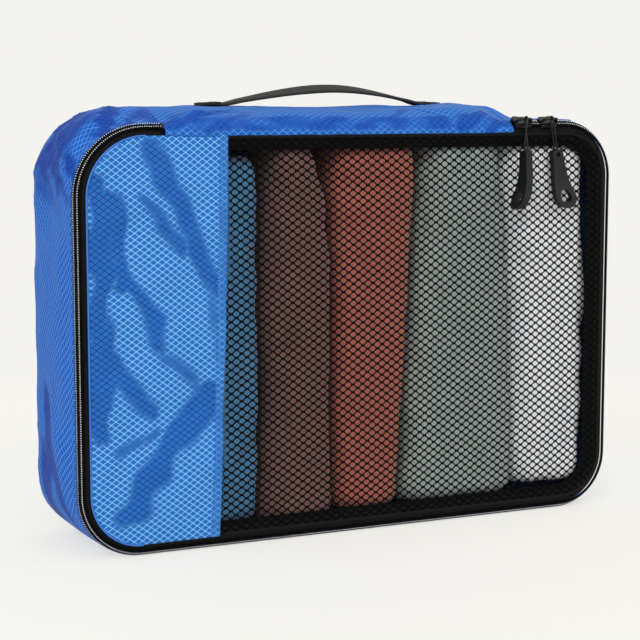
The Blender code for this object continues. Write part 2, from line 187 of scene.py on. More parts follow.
def stripes(look, coordinate, pitch):
    """0 to 1 and back once every pitch (in metres of fabric)."""
    turns = look.times(coordinate, 1.0 / pitch)
    return look.math("PINGPONG", turns, 0.5)


RIPSTOP_U = 4.95 * MM
RIPSTOP_V = 3.6 * MM


def painted_shade_bands(look, angle, along_size, across_size, seed):
    """Soft noise over the cloth for bands of painted shade, drawn out along a direction, in metres of cloth.
    """
    u, v = look.uv()
    turn = radians(angle)
    along = look.plus(look.times(u, cos(turn) / along_size), look.times(v, sin(turn) / along_size))
    across = look.plus(look.times(u, -sin(turn) / across_size), look.times(v, cos(turn) / across_size))
    place_at = look.node("ShaderNodeCombineXYZ")
    look.link(along, place_at.inputs[0])
    look.link(across, place_at.inputs[1])
    place_at.inputs[2].default_value = seed
    return look.noise_at(place_at.outputs[0], 1.0, 2.5)


def ripstop(name, base, deep, lit_line, shaded_line, slant, crinkle=0.0):
    """Coated nylon with a raised diamond grid.

    Its lines are a pale painted sheen. Where the mesh's "fold" attribute marks painted shade, they turn navy
    and the ground deepens.
    """
    look = Look(name, 0.58, specular=0.1)
    u, v = look.uv()
    across = look.times(u, 1.0 / RIPSTOP_U)
    along = look.times(v, 1.0 / RIPSTOP_V)
    families = [look.plus(across, along), look.math("SUBTRACT", across, along)]
    lines = [look.step(look.math("PINGPONG", family, 0.5), 0.095, 0.03) for family in families]
    grid = look.math("MAXIMUM", lines[0], lines[1])
    # Painted shade: the "fold" attribute, broken up by noise, swaps the lit look (pale sheen lines) for the
    # shaded look (navy lines on a deeper ground).
    fold = look.node("ShaderNodeAttribute", attribute_name="fold").outputs["Fac"]
    ragged = look.times(look.object_noise(95.0, 4.0), 0.7)
    fold = look.step(look.plus(look.times(fold, 1.15), ragged), 0.42, 1.25)
    grain = look.object_noise(1100.0, 2.0)
    # Painted shade: soft bands, slanted across the cloth, darken its ground.
    soft = painted_shade_bands(look, slant, 0.05, 0.018, 9.0)
    ground = look.blend(fold, rgb(*base), rgb(*deep))
    ground = look.blend(look.times(soft, 0.55), ground, rgb(*(c * 0.80 for c in base)))
    ground = look.blend(look.times(grain, 0.35), ground, rgb(*(min(255, c * 1.22) for c in base)))
    line = look.blend(fold, rgb(*lit_line), rgb(*shaded_line))
    look.colour(look.blend(look.times(grid, 0.9), ground, line))
    weave = look.plus(look.times(grid, 0.8), look.times(grain, 0.35))
    if crinkle:
        weave = look.plus(weave, look.times(look.object_noise(260.0, 3.0), crinkle))
    look.bump(weave, 0.00016, 0.8)
    return look.material


def plain_blue(name, level):
    look = Look(name, 0.55, specular=0.2)
    soft = look.object_noise(60.0, 3.0)
    deep, pale = (rgb(*(c * level for c in shade)) for shade in ((34, 82, 158), (50, 104, 172)))
    look.colour(look.blend(soft, deep, pale))
    look.bump(look.object_noise(1500.0, 2.0), 0.0001, 0.6)
    return look.material


def black_cloth(name, dark, pale, pitch, roughness=0.72):
    """Woven black tape or webbing with ribs along it."""
    look = Look(name, roughness, specular=0.12)
    u, v = look.uv()
    ribs = stripes(look, v, pitch)
    cross = stripes(look, u, pitch * 1.35)
    weave = look.plus(ribs, look.times(cross, 0.6))
    grain = look.object_noise(1200.0, 2.0)
    raised = look.step(look.plus(weave, grain), 0.5, 1.3)
    look.colour(look.blend(raised, rgb(dark, dark, dark), rgb(pale, pale, pale)))
    look.bump(weave, 0.0003, 0.8)
    return look.material


def smooth_black(name, level, roughness, metallic=0.0, grain=900.0, specular=0.5):
    look = Look(name, roughness, metallic, specular)
    spots = look.object_noise(grain, 3.0)
    look.colour(look.blend(spots, rgb(level, level, level), rgb(level * 1.5, level * 1.5, level * 1.55)))
    look.bump(spots, 0.00006, 0.5)
    return look.material


def jersey(name, colour, shade):
    """Soft knitted cloth."""
    look = Look(name, 0.9, specular=0.15, sheen=0.25)
    soft = look.object_noise(40.0, 3.0)
    knit = look.object_noise(1400.0, 2.0, (1.0, 1.0, 2.5))
    pale = tuple(min(1.0, c * 1.12 + 0.01) for c in colour[:3]) + (1.0,)
    deep = tuple(c * shade for c in colour[:3]) + (1.0,)
    share = look.plus(look.times(soft, 0.7), look.times(knit, 0.4))
    look.colour(look.blend(share, deep, pale))
    look.bump(look.plus(knit, soft), 0.0004, 0.6)
    return look.material


# Each ripstop: a lit ground, a painted-shade ground, pale painted-sheen lines, navy painted-shade lines, then
# the slant of its painted shade bands.
FABRIC_FRONT = ripstop("ripstop_front", (28, 92, 160), (32, 86, 160), (132, 190, 242), (6, 22, 88), -40)
FABRIC_WALL = ripstop("ripstop_wall", (16, 78, 164), (12, 52, 142), (84, 146, 224), (8, 24, 88), 20, 2.6)
FABRIC_TOP = ripstop("ripstop_top", (22, 82, 160), (22, 68, 152), (84, 140, 212), (12, 38, 116), 70)
FABRIC_BACK = ripstop("ripstop_back", (26, 88, 166), (26, 76, 160), (80, 142, 216), (24, 58, 142), 35)
HEM_BLUE = plain_blue("hem_blue", 0.95)
# A paler copy of the hem's blue: a painted highlight along the panel's rolled edge.
EDGE_HIGHLIGHT_BLUE = plain_blue("painted_edge_highlight", 1.08)
THREAD_BLUE = plain_blue("thread_blue", 1.2)
NET_BLACK = smooth_black("net_black", 4, 0.85, specular=0.04)
TAPE_BLACK = black_cloth("tape_black", 4, 15, 0.0006)
WEBBING = black_cloth("webbing_black", 22, 50, 0.00085, 0.6)
COIL_BLACK = smooth_black("coil_black", 4, 0.6, specular=0.08)
# Pale thread for the coil's stitches: partly the thread's colour, partly a painted highlight on the coil's
# turns.
COIL_THREAD_AND_GLINT = smooth_black("pale_thread_and_glint", 172, 0.6)
THREAD_BLACK = smooth_black("thread_black", 24, 0.6)
ENAMEL = smooth_black("enamel_black", 8, 0.3, 0.3, specular=0.4)
RUBBER = smooth_black("rubber_black", 9, 0.5, grain=2200.0, specular=0.25)


# Making meshes


def link_new(name, data):
    obj = bpy.data.objects.new(name, data)
    bpy.context.scene.collection.objects.link(obj)
    return obj


def bake(obj):
    """The mesh that an object comes to with its modifiers. The object itself is removed."""
    graph = bpy.context.evaluated_depsgraph_get()
    mesh = bpy.data.meshes.new_from_object(obj.evaluated_get(graph))
    bpy.data.objects.remove(obj)
    return mesh


def add(name, mesh, material, body, replaces=(), thickness=0.0, ride=True):
    """Adds a piece of the cube. thickness in millimetres grows inwards from the mesh."""
    obj = link_new(name, mesh)
    mesh.materials.append(material)
    if thickness:
        modifier = obj.modifiers.new("thickness", "SOLIDIFY")
        modifier.thickness = thickness * MM
        modifier.offset = -1.0
    if ride:
        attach(obj, body)
    if replaces:
        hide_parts(*replaces)
    return obj


def grid_mesh(name, points, uvs, closed=False, flip=False):
    """A mesh through an array of points (rows, columns, 3) in millimetres, with UVs in metres of cloth."""
    rows, cols = points.shape[:2]
    index = np.arange(rows * cols).reshape(rows, cols)
    if closed:
        index = np.concatenate([index, index[:, :1]], 1)
        uvs = np.concatenate([uvs, uvs[:, :1] + (uvs[:, -1:] - uvs[:, -2:-1])], 1)
    quads = np.stack([index[:-1, :-1], index[:-1, 1:], index[1:, 1:], index[1:, :-1]], -1).reshape(-1, 4)
    corner_uv = np.stack([uvs[:-1, :-1], uvs[:-1, 1:], uvs[1:, 1:], uvs[1:, :-1]], 2).reshape(-1, 4, 2)
    if flip:
        quads, corner_uv = quads[:, ::-1], corner_uv[:, ::-1]
    return polygon_mesh(name, points.reshape(-1, 3), quads, corner_uv)


def polygon_mesh(name, points, faces, corner_uv=None):
    mesh = bpy.data.meshes.new(name)
    count, size = faces.shape
    mesh.vertices.add(len(points))
    mesh.vertices.foreach_set("co", (np.asarray(points) * MM).ravel())
    mesh.loops.add(count * size)
    mesh.loops.foreach_set("vertex_index", faces.ravel().astype(np.int32))
    mesh.polygons.add(count)
    mesh.polygons.foreach_set("loop_start", (np.arange(count) * size).astype(np.int32))
    if corner_uv is None:
        flat = np.asarray(points)[faces.ravel()]
        corner_uv = np.stack([flat[:, 0] + flat[:, 1], flat[:, 2]], 1) * MM
    layer = mesh.uv_layers.new(name="UVMap")
    layer.data.foreach_set("uv", np.ascontiguousarray(corner_uv, float).ravel())
    mesh.update(calc_edges=True)
    mesh.validate()
    mesh.shade_smooth()
    return mesh


def add_grid(name, points, material, body, slot, replaces=(), thickness=0.0, ride=True, **how):
    """Adds a grid of points whose UVs are distances along its own cloth."""
    mesh = grid_mesh(name, points, cloth_uv(points), **how)
    return add(name, mesh, material, body, replaces, thickness, ride)


def merge_points(mesh, distance):
    """Joins the points that lie together and turns every face outwards."""
    shape = bmesh.new()
    shape.from_mesh(mesh)
    bmesh.ops.remove_doubles(shape, verts=shape.verts, dist=distance)
    bmesh.ops.recalc_face_normals(shape, faces=shape.faces)
    shape.to_mesh(mesh)
    shape.free()


def turns(count):
    """Angles evenly round a circle."""
    return [2 * pi * k / count for k in range(count)]


def unit(vectors):
    return vectors / np.maximum(np.linalg.norm(vectors, axis=1, keepdims=True), 1e-6)


def wrap(path, radius, first, second, angles):
    """Rows of points round a path, in the plane of two directions."""
    return np.array([path + radius * (first * cos(a) + second * sin(a)) for a in angles])


def store_painted_shade(mesh, folds):
    """Stores the painted shade of each point of a grid mesh, 0 (lit, pale lines) to 1 (shaded, navy lines),
    as its "fold" attribute.
    """
    layer = mesh.attributes.new("fold", "FLOAT", "POINT")
    layer.data.foreach_set("value", np.clip(folds, 0, 1).ravel().astype(np.float32))
    return mesh


def painted_shade_marks(a, b, shade_strokes, wobble):
    """Soft marks of painted shade along strokes (start, end, width, strength) on a cloth with coordinates a
    and b.
    """
    shifted_a = a + noise2(a / 18.0, b / 18.0, 70) * wobble
    shifted_b = b + noise2(a / 18.0, b / 18.0, 71) * wobble
    marks = np.zeros(np.broadcast(a, b).shape)
    for (a0, b0), (a1, b1), width, strength in shade_strokes:
        length = ((a1 - a0) ** 2 + (b1 - b0) ** 2) ** 0.5
        ua, ub = (a1 - a0) / length, (b1 - b0) / length
        along = (shifted_a - a0) * ua + (shifted_b - b0) * ub
        across = (shifted_b - b0) * ua - (shifted_a - a0) * ub
        beyond = np.maximum(0.0, np.maximum(-along, along - length))
        marks = np.maximum(marks, strength * np.exp(-((across**2 + beyond**2) / width**2) ** 1.6))
    return marks


def normals(points):
    """Unit normals of a grid of points."""
    down = np.gradient(points, axis=0)
    right = np.gradient(points, axis=1)
    out = np.cross(right, down)
    return out / np.maximum(np.linalg.norm(out, axis=2, keepdims=True), 1e-9)


def lengths(points, axis):
    """Distance travelled along an axis of a grid of points, in metres."""
    step = np.linalg.norm(np.diff(points, axis=axis), axis=2)
    start = np.zeros_like(np.take(step, [0], axis))
    return np.concatenate([start, np.cumsum(step, axis)], axis) * MM


# The way round the cube


def stations(spacing, corner_steps, left=ZIP_LEFT, right=ZIP_RIGHT, closed=False):
    """Places on the perimeter, each a pair of coarse stations and a share between them."""
    coarse = [("top", left)]
    for corner in range(4):
        coarse += [(corner, 90.0 * k / corner_steps) for k in range(corner_steps + 1)]
    coarse.append(("top", right))
    if closed:
        coarse.append(coarse[0])
    fine = []
    for a, b in zip(coarse, coarse[1:]):
        gap = np.hypot(*(np.array(place(a, 0.0, FRONT_HEIGHT)) - place(b, 0.0, FRONT_HEIGHT)))
        parts = max(1, int(round(gap / spacing)))
        fine += [(a, b, k / parts) for k in range(parts)]
    if not closed:
        fine.append((coarse[-1], coarse[-1], 0.0))
    return fine


def place(station, inset, top):
    where, value = station
    if where == "top":
        return value, top
    radius = RADII[where] - inset
    half = WIDTH / 2 - inset
    across = (-half + radius, half - radius)[where > 1]
    centre = (across, (top - radius, inset + radius)[where in (1, 2)])
    angle = radians((90, 180, 270, 0)[where] + value)
    return centre[0] + radius * cos(angle), centre[1] + radius * sin(angle)


def ring(fine, inset, top):
    """(x, z) of all the stations at this inset."""
    rows = []
    for a, b, share in fine:
        p, q = place(a, inset, top), place(b, inset, top)
        rows.append((mix(p[0], q[0], share), mix(p[1], q[1], share)))
    return np.array(rows)


def side_crown(y):
    share = min(1.0, max(0.0, (y + 29.5) / 29.5))
    back_drop = 3.0 * max(0.0, (y - 20.0) / 20.0)
    return CROWN * sin(share * pi / 2) - back_drop


def settle(points):
    """Lowers the crowned top towards its right end, where it runs down to the sliders."""
    x, y, z = points[..., 0], points[..., 1], points[..., 2]
    share = 1.0 - 0.93 * smooth((x - 0.5 * np.maximum(y + 33.0, 0.0) - 86.0) / 22.0)
    points[..., 2] = np.where(z > FRONT_HEIGHT, FRONT_HEIGHT + (z - FRONT_HEIGHT) * share, z)
    return points


def loft(fine, sections):
    """Points through sections (y, inset, top) all the way round."""
    rows = []
    for y, inset, top in sections:
        flat = ring(fine, inset, top)
        rows.append(np.stack([flat[:, 0], np.full(len(flat), y), flat[:, 1]], 1))
    return np.array(rows)


def zip_section(angle, radius):
    inset = ARC_INSET - radius * cos(radians(angle))
    return ARC_Y - radius * sin(radians(angle)), inset, FRONT_HEIGHT - inset


def cloth_uv(points):
    return np.stack([lengths(points, 1), lengths(points, 0)], 2)


# Walls


def make_side_wall():
    fine = stations(4.0, 14)
    sections = [(-33.2, 1.0, FRONT_HEIGHT - 1.0), (-32.9, 0.1, FRONT_HEIGHT - 0.1)]
    ys = list(np.arange(-31.5, 33.0, 2.6)) + [34.0]
    sections += [(y, 0.0, FRONT_HEIGHT + side_crown(y)) for y in ys]
    for angle in (15, 30, 45, 60, 75, 90):
        y = BACK_Y - 6.0 + 6.0 * sin(radians(angle))
        inset = 6.0 * (1 - cos(radians(angle)))
        sections.append((y, inset, FRONT_HEIGHT + side_crown(y) - inset))
    points = loft(fine, sections)
    uv = cloth_uv(points)
    out = normals(points)
    if out[10, len(fine) // 4, 0] > 0:
        out = -out
    s = uv[..., 0] / MM
    y = points[..., 1]
    edge = smooth((y + 33.0) / 9.0)
    body = smooth((y + 33.0) / 20.0) * smooth((40.0 - y) / 14.0)
    broad = noise2(s / 46.0, y / 30.0, 1) * 1.5 + noise2(s / 19.0, y / 26.0, 2) * 0.7
    ridge = (1.0 - np.abs(noise2(s / 24.0 + y / 30.0, y / 60.0 - s / 90.0, 3))) ** 4 * 1.1
    x, z = points[..., 0], points[..., 2]
    corner = smooth((-112.0 - x) / 14.0) * smooth((z - 180.0) / 24.0)
    ridge = ridge + corner * (1.0 - np.abs(noise2(s / 11.0 + y / 26.0, y / 50.0, 5))) ** 3 * 1.3
    broad = broad * (1.0 + 0.6 * corner)
    pucker = noise2(s / 3.4, y / 9.0, 4) * 0.35 * (1 - smooth((y + 33.0) / 10.0)) * smooth((y + 33.0) / 2.5)
    lift = (broad + ridge - 0.3) * body + pucker + 1.1 * np.sin(pi * (y + 33) / 73.0) * edge
    floor = smooth((out[..., 2] * -1.0 - 0.15) / 0.6)
    lift = mix(lift, np.minimum(lift, 0.0) * 0.25, floor)
    left_side = smooth((-150.0 - x) / 14.0)
    lift += left_side * body * (2.6 * hump(z, 85.0, 75.0) - 1.3 * hump(z, 185.0, 28.0))
    right_side = smooth((x - 100.0) / 40.0)
    lift = mix(lift, np.minimum(lift, 0.0) * 0.7 - 0.4, right_side)
    lift = lift * smooth(s / 16.0) * smooth((s[:, -1:] - s) / 16.0)
    points = points + out * lift[..., None]
    points[..., 2] = np.maximum(points[..., 2], 0.0)
    points = settle(points)
    x, z = points[..., 0], points[..., 2]
    # Painted shade: navy-lined patches in the top left corner and broad streaks elsewhere, kept in the "fold"
    # attribute.
    corner = smooth((-112.0 - x) / 20.0) * smooth((z - 176.0) / 52.0)
    folds = corner * smooth(noise2(s / 9.0 + y / 22.0, y / 34.0, 81) * 2.0 + 0.35)
    folds = np.maximum(folds, 0.8 * smooth(noise2(s / 50.0, y / 13.0 + s / 40.0, 82) * 1.8 - 0.5))
    mesh = store_painted_shade(grid_mesh("side_wall_fabric", points, uv), folds)
    return add("side_wall_fabric", mesh, FABRIC_WALL, "shell", ["side_wall"], 0.35)


SHOULDER = 22.0  # how far from its ends the crowned top reaches its full height


def make_top_fabric():
    """The top wall and the front-facing band below its fold, one piece of cloth that bends at the fold."""
    xs = np.linspace(ZIP_LEFT - 1.0, ZIP_RIGHT + 0.5, 150)
    full = [(-40.6, 231.4), (-41.4, 232.6), (-41.5, 234.6), (-41.3, 236.8), (-40.7, 238.9), (-39.5, 240.7),
            (-37.6, 242.1), (-35.0, 243.2), (-31.0, 244.4), (-26.0, 245.4), (-20.0, 246.3), (-12.0, 247.0),
            (-4.0, 247.4), (4.0, 247.5), (12.0, 247.5), (20.0, 247.5), (27.0, 246.8), (34.0, 245.7)]
    low = [(-40.6, 232.2), (-41.2, 233.0), (-40.9, 234.4), (-40.2, 235.8), (-39.1, 237.0), (-37.6, 238.0),
           (-35.6, 238.7), (-33.4, 239.1), (-30.5, 239.3)]
    low += [(y, FRONT_HEIGHT + side_crown(y) + 0.5) for y, _ in full[len(low):]]
    for angle in (20, 40, 60, 80, 90):
        y = 34.0 + 6.0 * sin(radians(angle))
        z = FRONT_HEIGHT + side_crown(y) - 6.0 * (1 - cos(radians(angle)))
        full.append((y, z))
        low.append((y, z + 0.3))
    coarse_t = np.linspace(0, 1, len(full))
    fine_t = np.linspace(0, 1, 70)
    full = np.stack([np.interp(fine_t, coarse_t, np.array(full)[:, k]) for k in (0, 1)], 1)
    low = np.stack([np.interp(fine_t, coarse_t, np.array(low)[:, k]) for k in (0, 1)], 1)
    share = smooth(np.minimum(xs - ZIP_LEFT + 1.0, ZIP_RIGHT + 0.5 - xs) / SHOULDER)
    yz = low[:, None, :] + (full - low)[:, None, :] * share[None, :, None]
    points = np.concatenate([np.broadcast_to(xs[None, :, None], yz.shape[:2] + (1,)), yz], 2)
    uv = cloth_uv(points)
    out = normals(points)
    if out[40, 75, 2] < 0:
        out = -out
    v = uv[..., 1] / MM
    x = points[..., 0]
    body = smooth(v / 6.0) * smooth((uv[-1:, :, 1] / MM - v) / 10.0)
    ends = smooth((x - ZIP_LEFT) / 8.0) * smooth((ZIP_RIGHT - x) / 8.0)
    broad = noise2(x / 42.0, v / 16.0, 11) * 0.9 + noise2(x / 15.0, v / 12.0, 12) * 0.45
    fold = hump(v - 8.0, (x + 118.0) * 0.45 + 2.0, 2.2) * smooth((x + 118.0) / 6.0)
    fold = fold * smooth((-62.0 - x) / 14.0) * 1.6
    second = hump(v - 17.0, (x + 112.0) * 0.10, 2.0) * smooth((x + 112.0) / 8.0)
    fold += second * smooth((-70.0 - x) / 20.0) * 1.1
    bulge = hump(x, 72.0, 20.0) * hump(v, 38.0, 22.0) * 1.8
    crease = -hump(v - 12.0, (60.0 - x) * 0.55, 1.6) * smooth((x - 38.0) / 6.0) * smooth((62.0 - x) / 6.0)
    crease -= hump(v - 4.0, (96.0 - x) * 0.9, 1.6) * smooth((x - 76.0) / 6.0) * smooth((98.0 - x) / 5.0) * 0.9
    pucker = noise2(x / 3.2, v / 8.0, 14) * 0.28 * (1 - smooth(v / 8.0))
    lift = (broad + fold + bulge + crease) * body * mix(0.1, 1.0, ends) + pucker
    points = settle(points + out * lift[..., None])
    # Painted shade: navy-lined marks along the creases and over the front-facing band and its fold, kept in
    # the "fold" attribute.
    shade_strokes = [((-116, 6), (-84, 22), 3.5, 0.9), ((-112, 20), (-66, 24), 3.0, 0.7),
               ((-96, 3), (-70, 16), 3.0, 0.6), ((62, 4), (84, 16), 4.0, 0.9),
               ((84, 3), (96, 12), 3.0, 0.9), ((20, 12), (34, 24), 3.0, 0.6)]
    folds = painted_shade_marks(x, v, shade_strokes, 2.0)
    band = smooth((v - 2.0) / 3.0) * smooth((15.0 - v) / 4.0)
    folds = np.maximum(folds, band * (0.35 + 0.4 * smooth(noise2(x / 14.0, v / 9.0, 83) + 0.5)))
    mesh = store_painted_shade(grid_mesh("top_fabric", points, uv), folds)
    covered = ["top_wall", "hinge_strip", "seam_tape_left", "seam_tape_right"]
    top = add("top_fabric", mesh, FABRIC_TOP, "shell", covered, 0.3, ride=False)
    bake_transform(top)


def make_back():
    """The back panel, a puffed sheet, and the piping of the seam round it."""
    xs = np.linspace(-1, 1, 84)
    low, high = 5.8, FRONT_HEIGHT + side_crown(BACK_Y) - 5.8
    radius = 32.0
    rows = []
    for t in np.linspace(0, 1, 60):
        z = mix(low, high, t)
        near = min(z - low, high - z)
        dip = radius - sqrt(max(0.0, radius**2 - max(0.0, radius - near) ** 2))
        half = WIDTH / 2 - 5.8 - dip
        rows.append([(half * k, BACK_Y - 0.2, z) for k in xs])
    points = np.array(rows)
    x, z = points[..., 0], points[..., 2]
    puff = smooth((WIDTH / 2 - 6 - np.abs(x)) / 30.0) * smooth(np.minimum(z - low, high - z) / 30.0)
    lift = noise2(x / 60.0, z / 45.0, 21) * 1.2 + noise2(x / 24.0 + z / 40.0, z / 30.0, 22) * 0.6 - 0.4
    points[..., 1] += np.minimum(lift * puff, 0.6)
    points = settle(points)
    uv = np.stack([x, z], 2) * MM
    # Painted shade: soft navy-lined streaks, kept in the "fold" attribute.
    folds = 0.6 * smooth(noise2((x + z) / 70.0, (z - x) / 18.0, 84) * 1.5 - 0.5)
    mesh = store_painted_shade(grid_mesh("back_panel_fabric", points, uv, flip=True), folds)
    add("back_panel_fabric", mesh, FABRIC_BACK, "shell", ["back_panel"], 0.35)
    fine = stations(5.0, 12, closed=True)
    rows = []
    for angle in np.linspace(0, 2 * pi, 9)[:-1]:
        inset = 5.9 + 1.0 * cos(angle)
        rows.append((BACK_Y - 0.2 + 0.9 * sin(angle), inset, FRONT_HEIGHT + side_crown(BACK_Y) - inset))
    rows.append(rows[0])
    points = settle(loft(fine, rows))
    add_grid("back_seam_piping", points, HEM_BLUE, "shell", "ripstop_blue", ["back_seam_binding"],
             closed=True)


# The front


def front_y(x, z):
    """How far forward the front lies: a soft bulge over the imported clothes."""
    wide = smooth((WIDTH / 2 - 8.0 - np.abs(x)) / 45.0)
    tall = smooth(np.minimum(z - 8.0, FRONT_HEIGHT - 8.0 - z) / 45.0)
    return PANEL_Y - 0.2 - 2.0 * wide * tall - 0.5 * noise2(x / 55.0, z / 60.0, 31) * wide * tall


def on_front(x, z, back):
    """Points a little behind (or, below zero, ahead of) the front's surface."""
    return np.stack([x, front_y(x, z) + back, z], 1)


def split_x(z):
    """The edge between the blue panel and the net leans a little."""
    return mix(-91.5, -84.5, np.asarray(z) / FRONT_HEIGHT)


def edge_inset_x(z, inset, side):
    """|x| of the rounded outline at this height, on the left or the right."""
    upper, lower = (RADII[0], RADII[1]) if side == "left" else (RADII[3], RADII[2])
    low, high = inset, FRONT_HEIGHT - inset
    radius = np.where(np.asarray(z) > FRONT_HEIGHT / 2, upper, lower) - inset
    near = np.clip(np.minimum(z - low, high - z), 0, radius)
    dip = radius - np.sqrt(np.maximum(0.0, radius**2 - (radius - near) ** 2))
    return WIDTH / 2 - inset - dip


def make_front_panel():
    """The blue panel, with its folds, and the rolled edge where it meets the zip's tape."""
    low, high = PANEL_INSET, FRONT_HEIGHT - PANEL_INSET
    near_edge = np.array([0.3, 0.9, 1.8])
    zs = np.sort(np.concatenate([np.linspace(low, high, 96), low + near_edge, high - near_edge]))
    shares = np.concatenate([[0, 0.006, 0.02], np.linspace(0.04, 1, 40)])
    left = -edge_inset_x(zs, PANEL_INSET, "left")
    right = split_x(zs) + 0.6
    x = left[:, None] + (right - left)[:, None] * shares[None, :]
    z = np.broadcast_to(zs[:, None], x.shape)
    y = front_y(x, z)
    body = smooth((x - left[:, None]) / 14.0) * smooth(np.minimum(z - low, high - z) / 14.0)
    body = body * smooth((right[:, None] - x - 2.0) / 16.0)
    along, over = x * 0.78 + z * 0.62, x * -0.62 + z * 0.78
    folds = noise2(along / 70.0, over / 17.0, 33) * 1.25 + noise2(along / 34.0, over / 11.0, 34) * 0.5
    ridge = (1 - np.abs(noise2(along / 60.0, over / 24.0, 35))) ** 5 * 0.9
    pucker = noise2(z / 4.0, x / 14.0, 36) * 0.22 * (1 - smooth((x - left[:, None]) / 9.0))
    y = y - (folds + ridge) * body * 0.9 - pucker
    rim = 1 - smooth((x - left[:, None]) / 2.2) * smooth(np.minimum(z - low, high - z) / 2.2)
    y = y + rim * 0.9
    points = np.stack([x, y, z], 2)
    uv = np.stack([x, z], 2) * MM
    # Painted shade: navy-lined strokes along the panel's folds and dark zones, kept in the "fold" attribute.
    shade_strokes = [((-158, 205), (-159, 70), 6.5, 1.0), ((-150, 196), (-146, 150), 6.0, 0.9),
               ((-128, 226), (-92, 150), 6.5, 0.85), ((-92, 150), (-88, 110), 5.0, 0.5),
               ((-148, 165), (-122, 118), 5.5, 0.8), ((-134, 196), (-112, 172), 4.5, 0.7),
               ((-156, 110), (-132, 84), 6.0, 0.85), ((-94, 92), (-142, 26), 8.0, 0.95),
               ((-120, 110), (-100, 92), 5.0, 0.6), ((-150, 60), (-128, 70), 5.0, 0.6)]
    mesh = store_painted_shade(grid_mesh("front_panel_fabric", points, uv), painted_shade_marks(x, z, shade_strokes, 4.0))
    add("front_panel_fabric", mesh, FABRIC_FRONT, "flap", ["front_solid_panel"], 0.35)
    # The rolled edge is real cloth; its paler blue is a painted highlight along it.
    mesh = tube_mesh("front_panel_rolled_edge", tube_along(on_front(left - 0.2, zs, 0.25), 0.55, 8))
    add("front_panel_rolled_edge", mesh, EDGE_HIGHLIGHT_BLUE, "flap")


def tube_along(path, radii, sides):
    """Rows of points round a path. radii is one number or one for each point."""
    tangent = unit(np.gradient(path, axis=0))
    side = unit(np.cross(tangent, [0.0, 1.0, 0.0]))
    angles = np.linspace(0, 2 * pi, sides + 1)[:-1]
    return wrap(path, np.broadcast_to(radii, len(path))[:, None], side, np.cross(side, tangent), angles)


def tube_mesh(name, points):
    """A tube, open at its ends, from rows of points round it."""
    sides, count = points.shape[:2]
    flat = points.transpose(1, 0, 2).reshape(-1, 3)
    index = np.arange(count * sides).reshape(count, sides)
    turned = np.roll(index, -1, axis=1)
    quads = np.stack([index[:-1], index[1:], turned[1:], turned[:-1]], -1).reshape(-1, 4)
    return polygon_mesh(name, flat, quads)


STITCH = np.array([(-0.5, 0, 0), (-0.3, 0.5, 0), (0.3, 0.5, 0), (0.5, 0, 0), (0.3, -0.5, 0), (-0.3, -0.5, 0),
                   (-0.25, 0, 1), (0.25, 0, 1)])
STITCH_FACES = [(0, 6, 1), (1, 6, 7, 2), (2, 7, 3), (3, 7, 4), (4, 7, 6, 5), (5, 6, 0), (0, 1, 4, 5),
                (1, 2, 3, 4)]


def stitches(name, places, axes, size):
    """Many small rounded thread stitches at places.

    axes are the directions along, across and out, each one vector or one for each stitch. size is the length,
    width and height in millimetres.
    """
    places = np.asarray(places, float)
    along, across, out = (np.broadcast_to(np.asarray(axis, float), places.shape)[:, None] for axis in axes)
    local = (STITCH * np.array(size))[None]
    verts = places[:, None] + along * local[..., :1] + across * local[..., 1:2] + out * local[..., 2:]
    faces = [[v + len(STITCH) * k for v in face] for k in range(len(places)) for face in STITCH_FACES]
    mesh = bpy.data.meshes.new(name)
    mesh.from_pydata((verts.reshape(-1, 3) * MM).tolist(), [], faces)
    mesh.uv_layers.new(name="UVMap")
    return mesh


def make_hem():
    """The folded edge of the blue panel, with its line of stitches."""
    low, high = PANEL_INSET + 0.4, FRONT_HEIGHT - PANEL_INSET + 0.4
    zs = np.linspace(low, high, 110)
    centre = split_x(zs)
    profile = [(-4.0, 0.5), (-3.9, -0.2), (-3.6, -0.5), (-2.0, -0.68), (0.0, -0.8), (0.9, -0.75),
               (1.25, -0.2), (1.2, 0.5)]
    rows = []
    for dx, dy in profile:
        x = centre + dx + noise2(zs / 14.0, np.full_like(zs, dx * 0.2), 41) * 0.25
        rows.append(on_front(x, zs, dy + noise2(zs / 5.0, np.full_like(zs, 3.0), 42) * 0.12))
    points = np.array(rows)
    uv = np.stack([points[..., 0], points[..., 2]], 2) * MM
    # Painted shade: the hem carries an even share of the navy-lined shaded look.
    mesh = store_painted_shade(grid_mesh("panel_hem_fold", points, uv), np.full(points.shape[:2], 0.42))
    add("panel_hem_fold", mesh, FABRIC_FRONT, "flap", ["panel_hem"])
    zs = np.arange(low + 2, high - 2, 2.6)
    axes = (0.03, 0, 1.0), (1.0, 0, 0), (0, -1.0, 0)
    mesh = stitches("hem_stitching", on_front(split_x(zs) - 3.0, zs, -0.62), axes, (1.9, 0.4, 0.22))
    add("hem_stitching", mesh, THREAD_BLUE, "flap")


NET_X = 6.33
NET_Z = 4.51


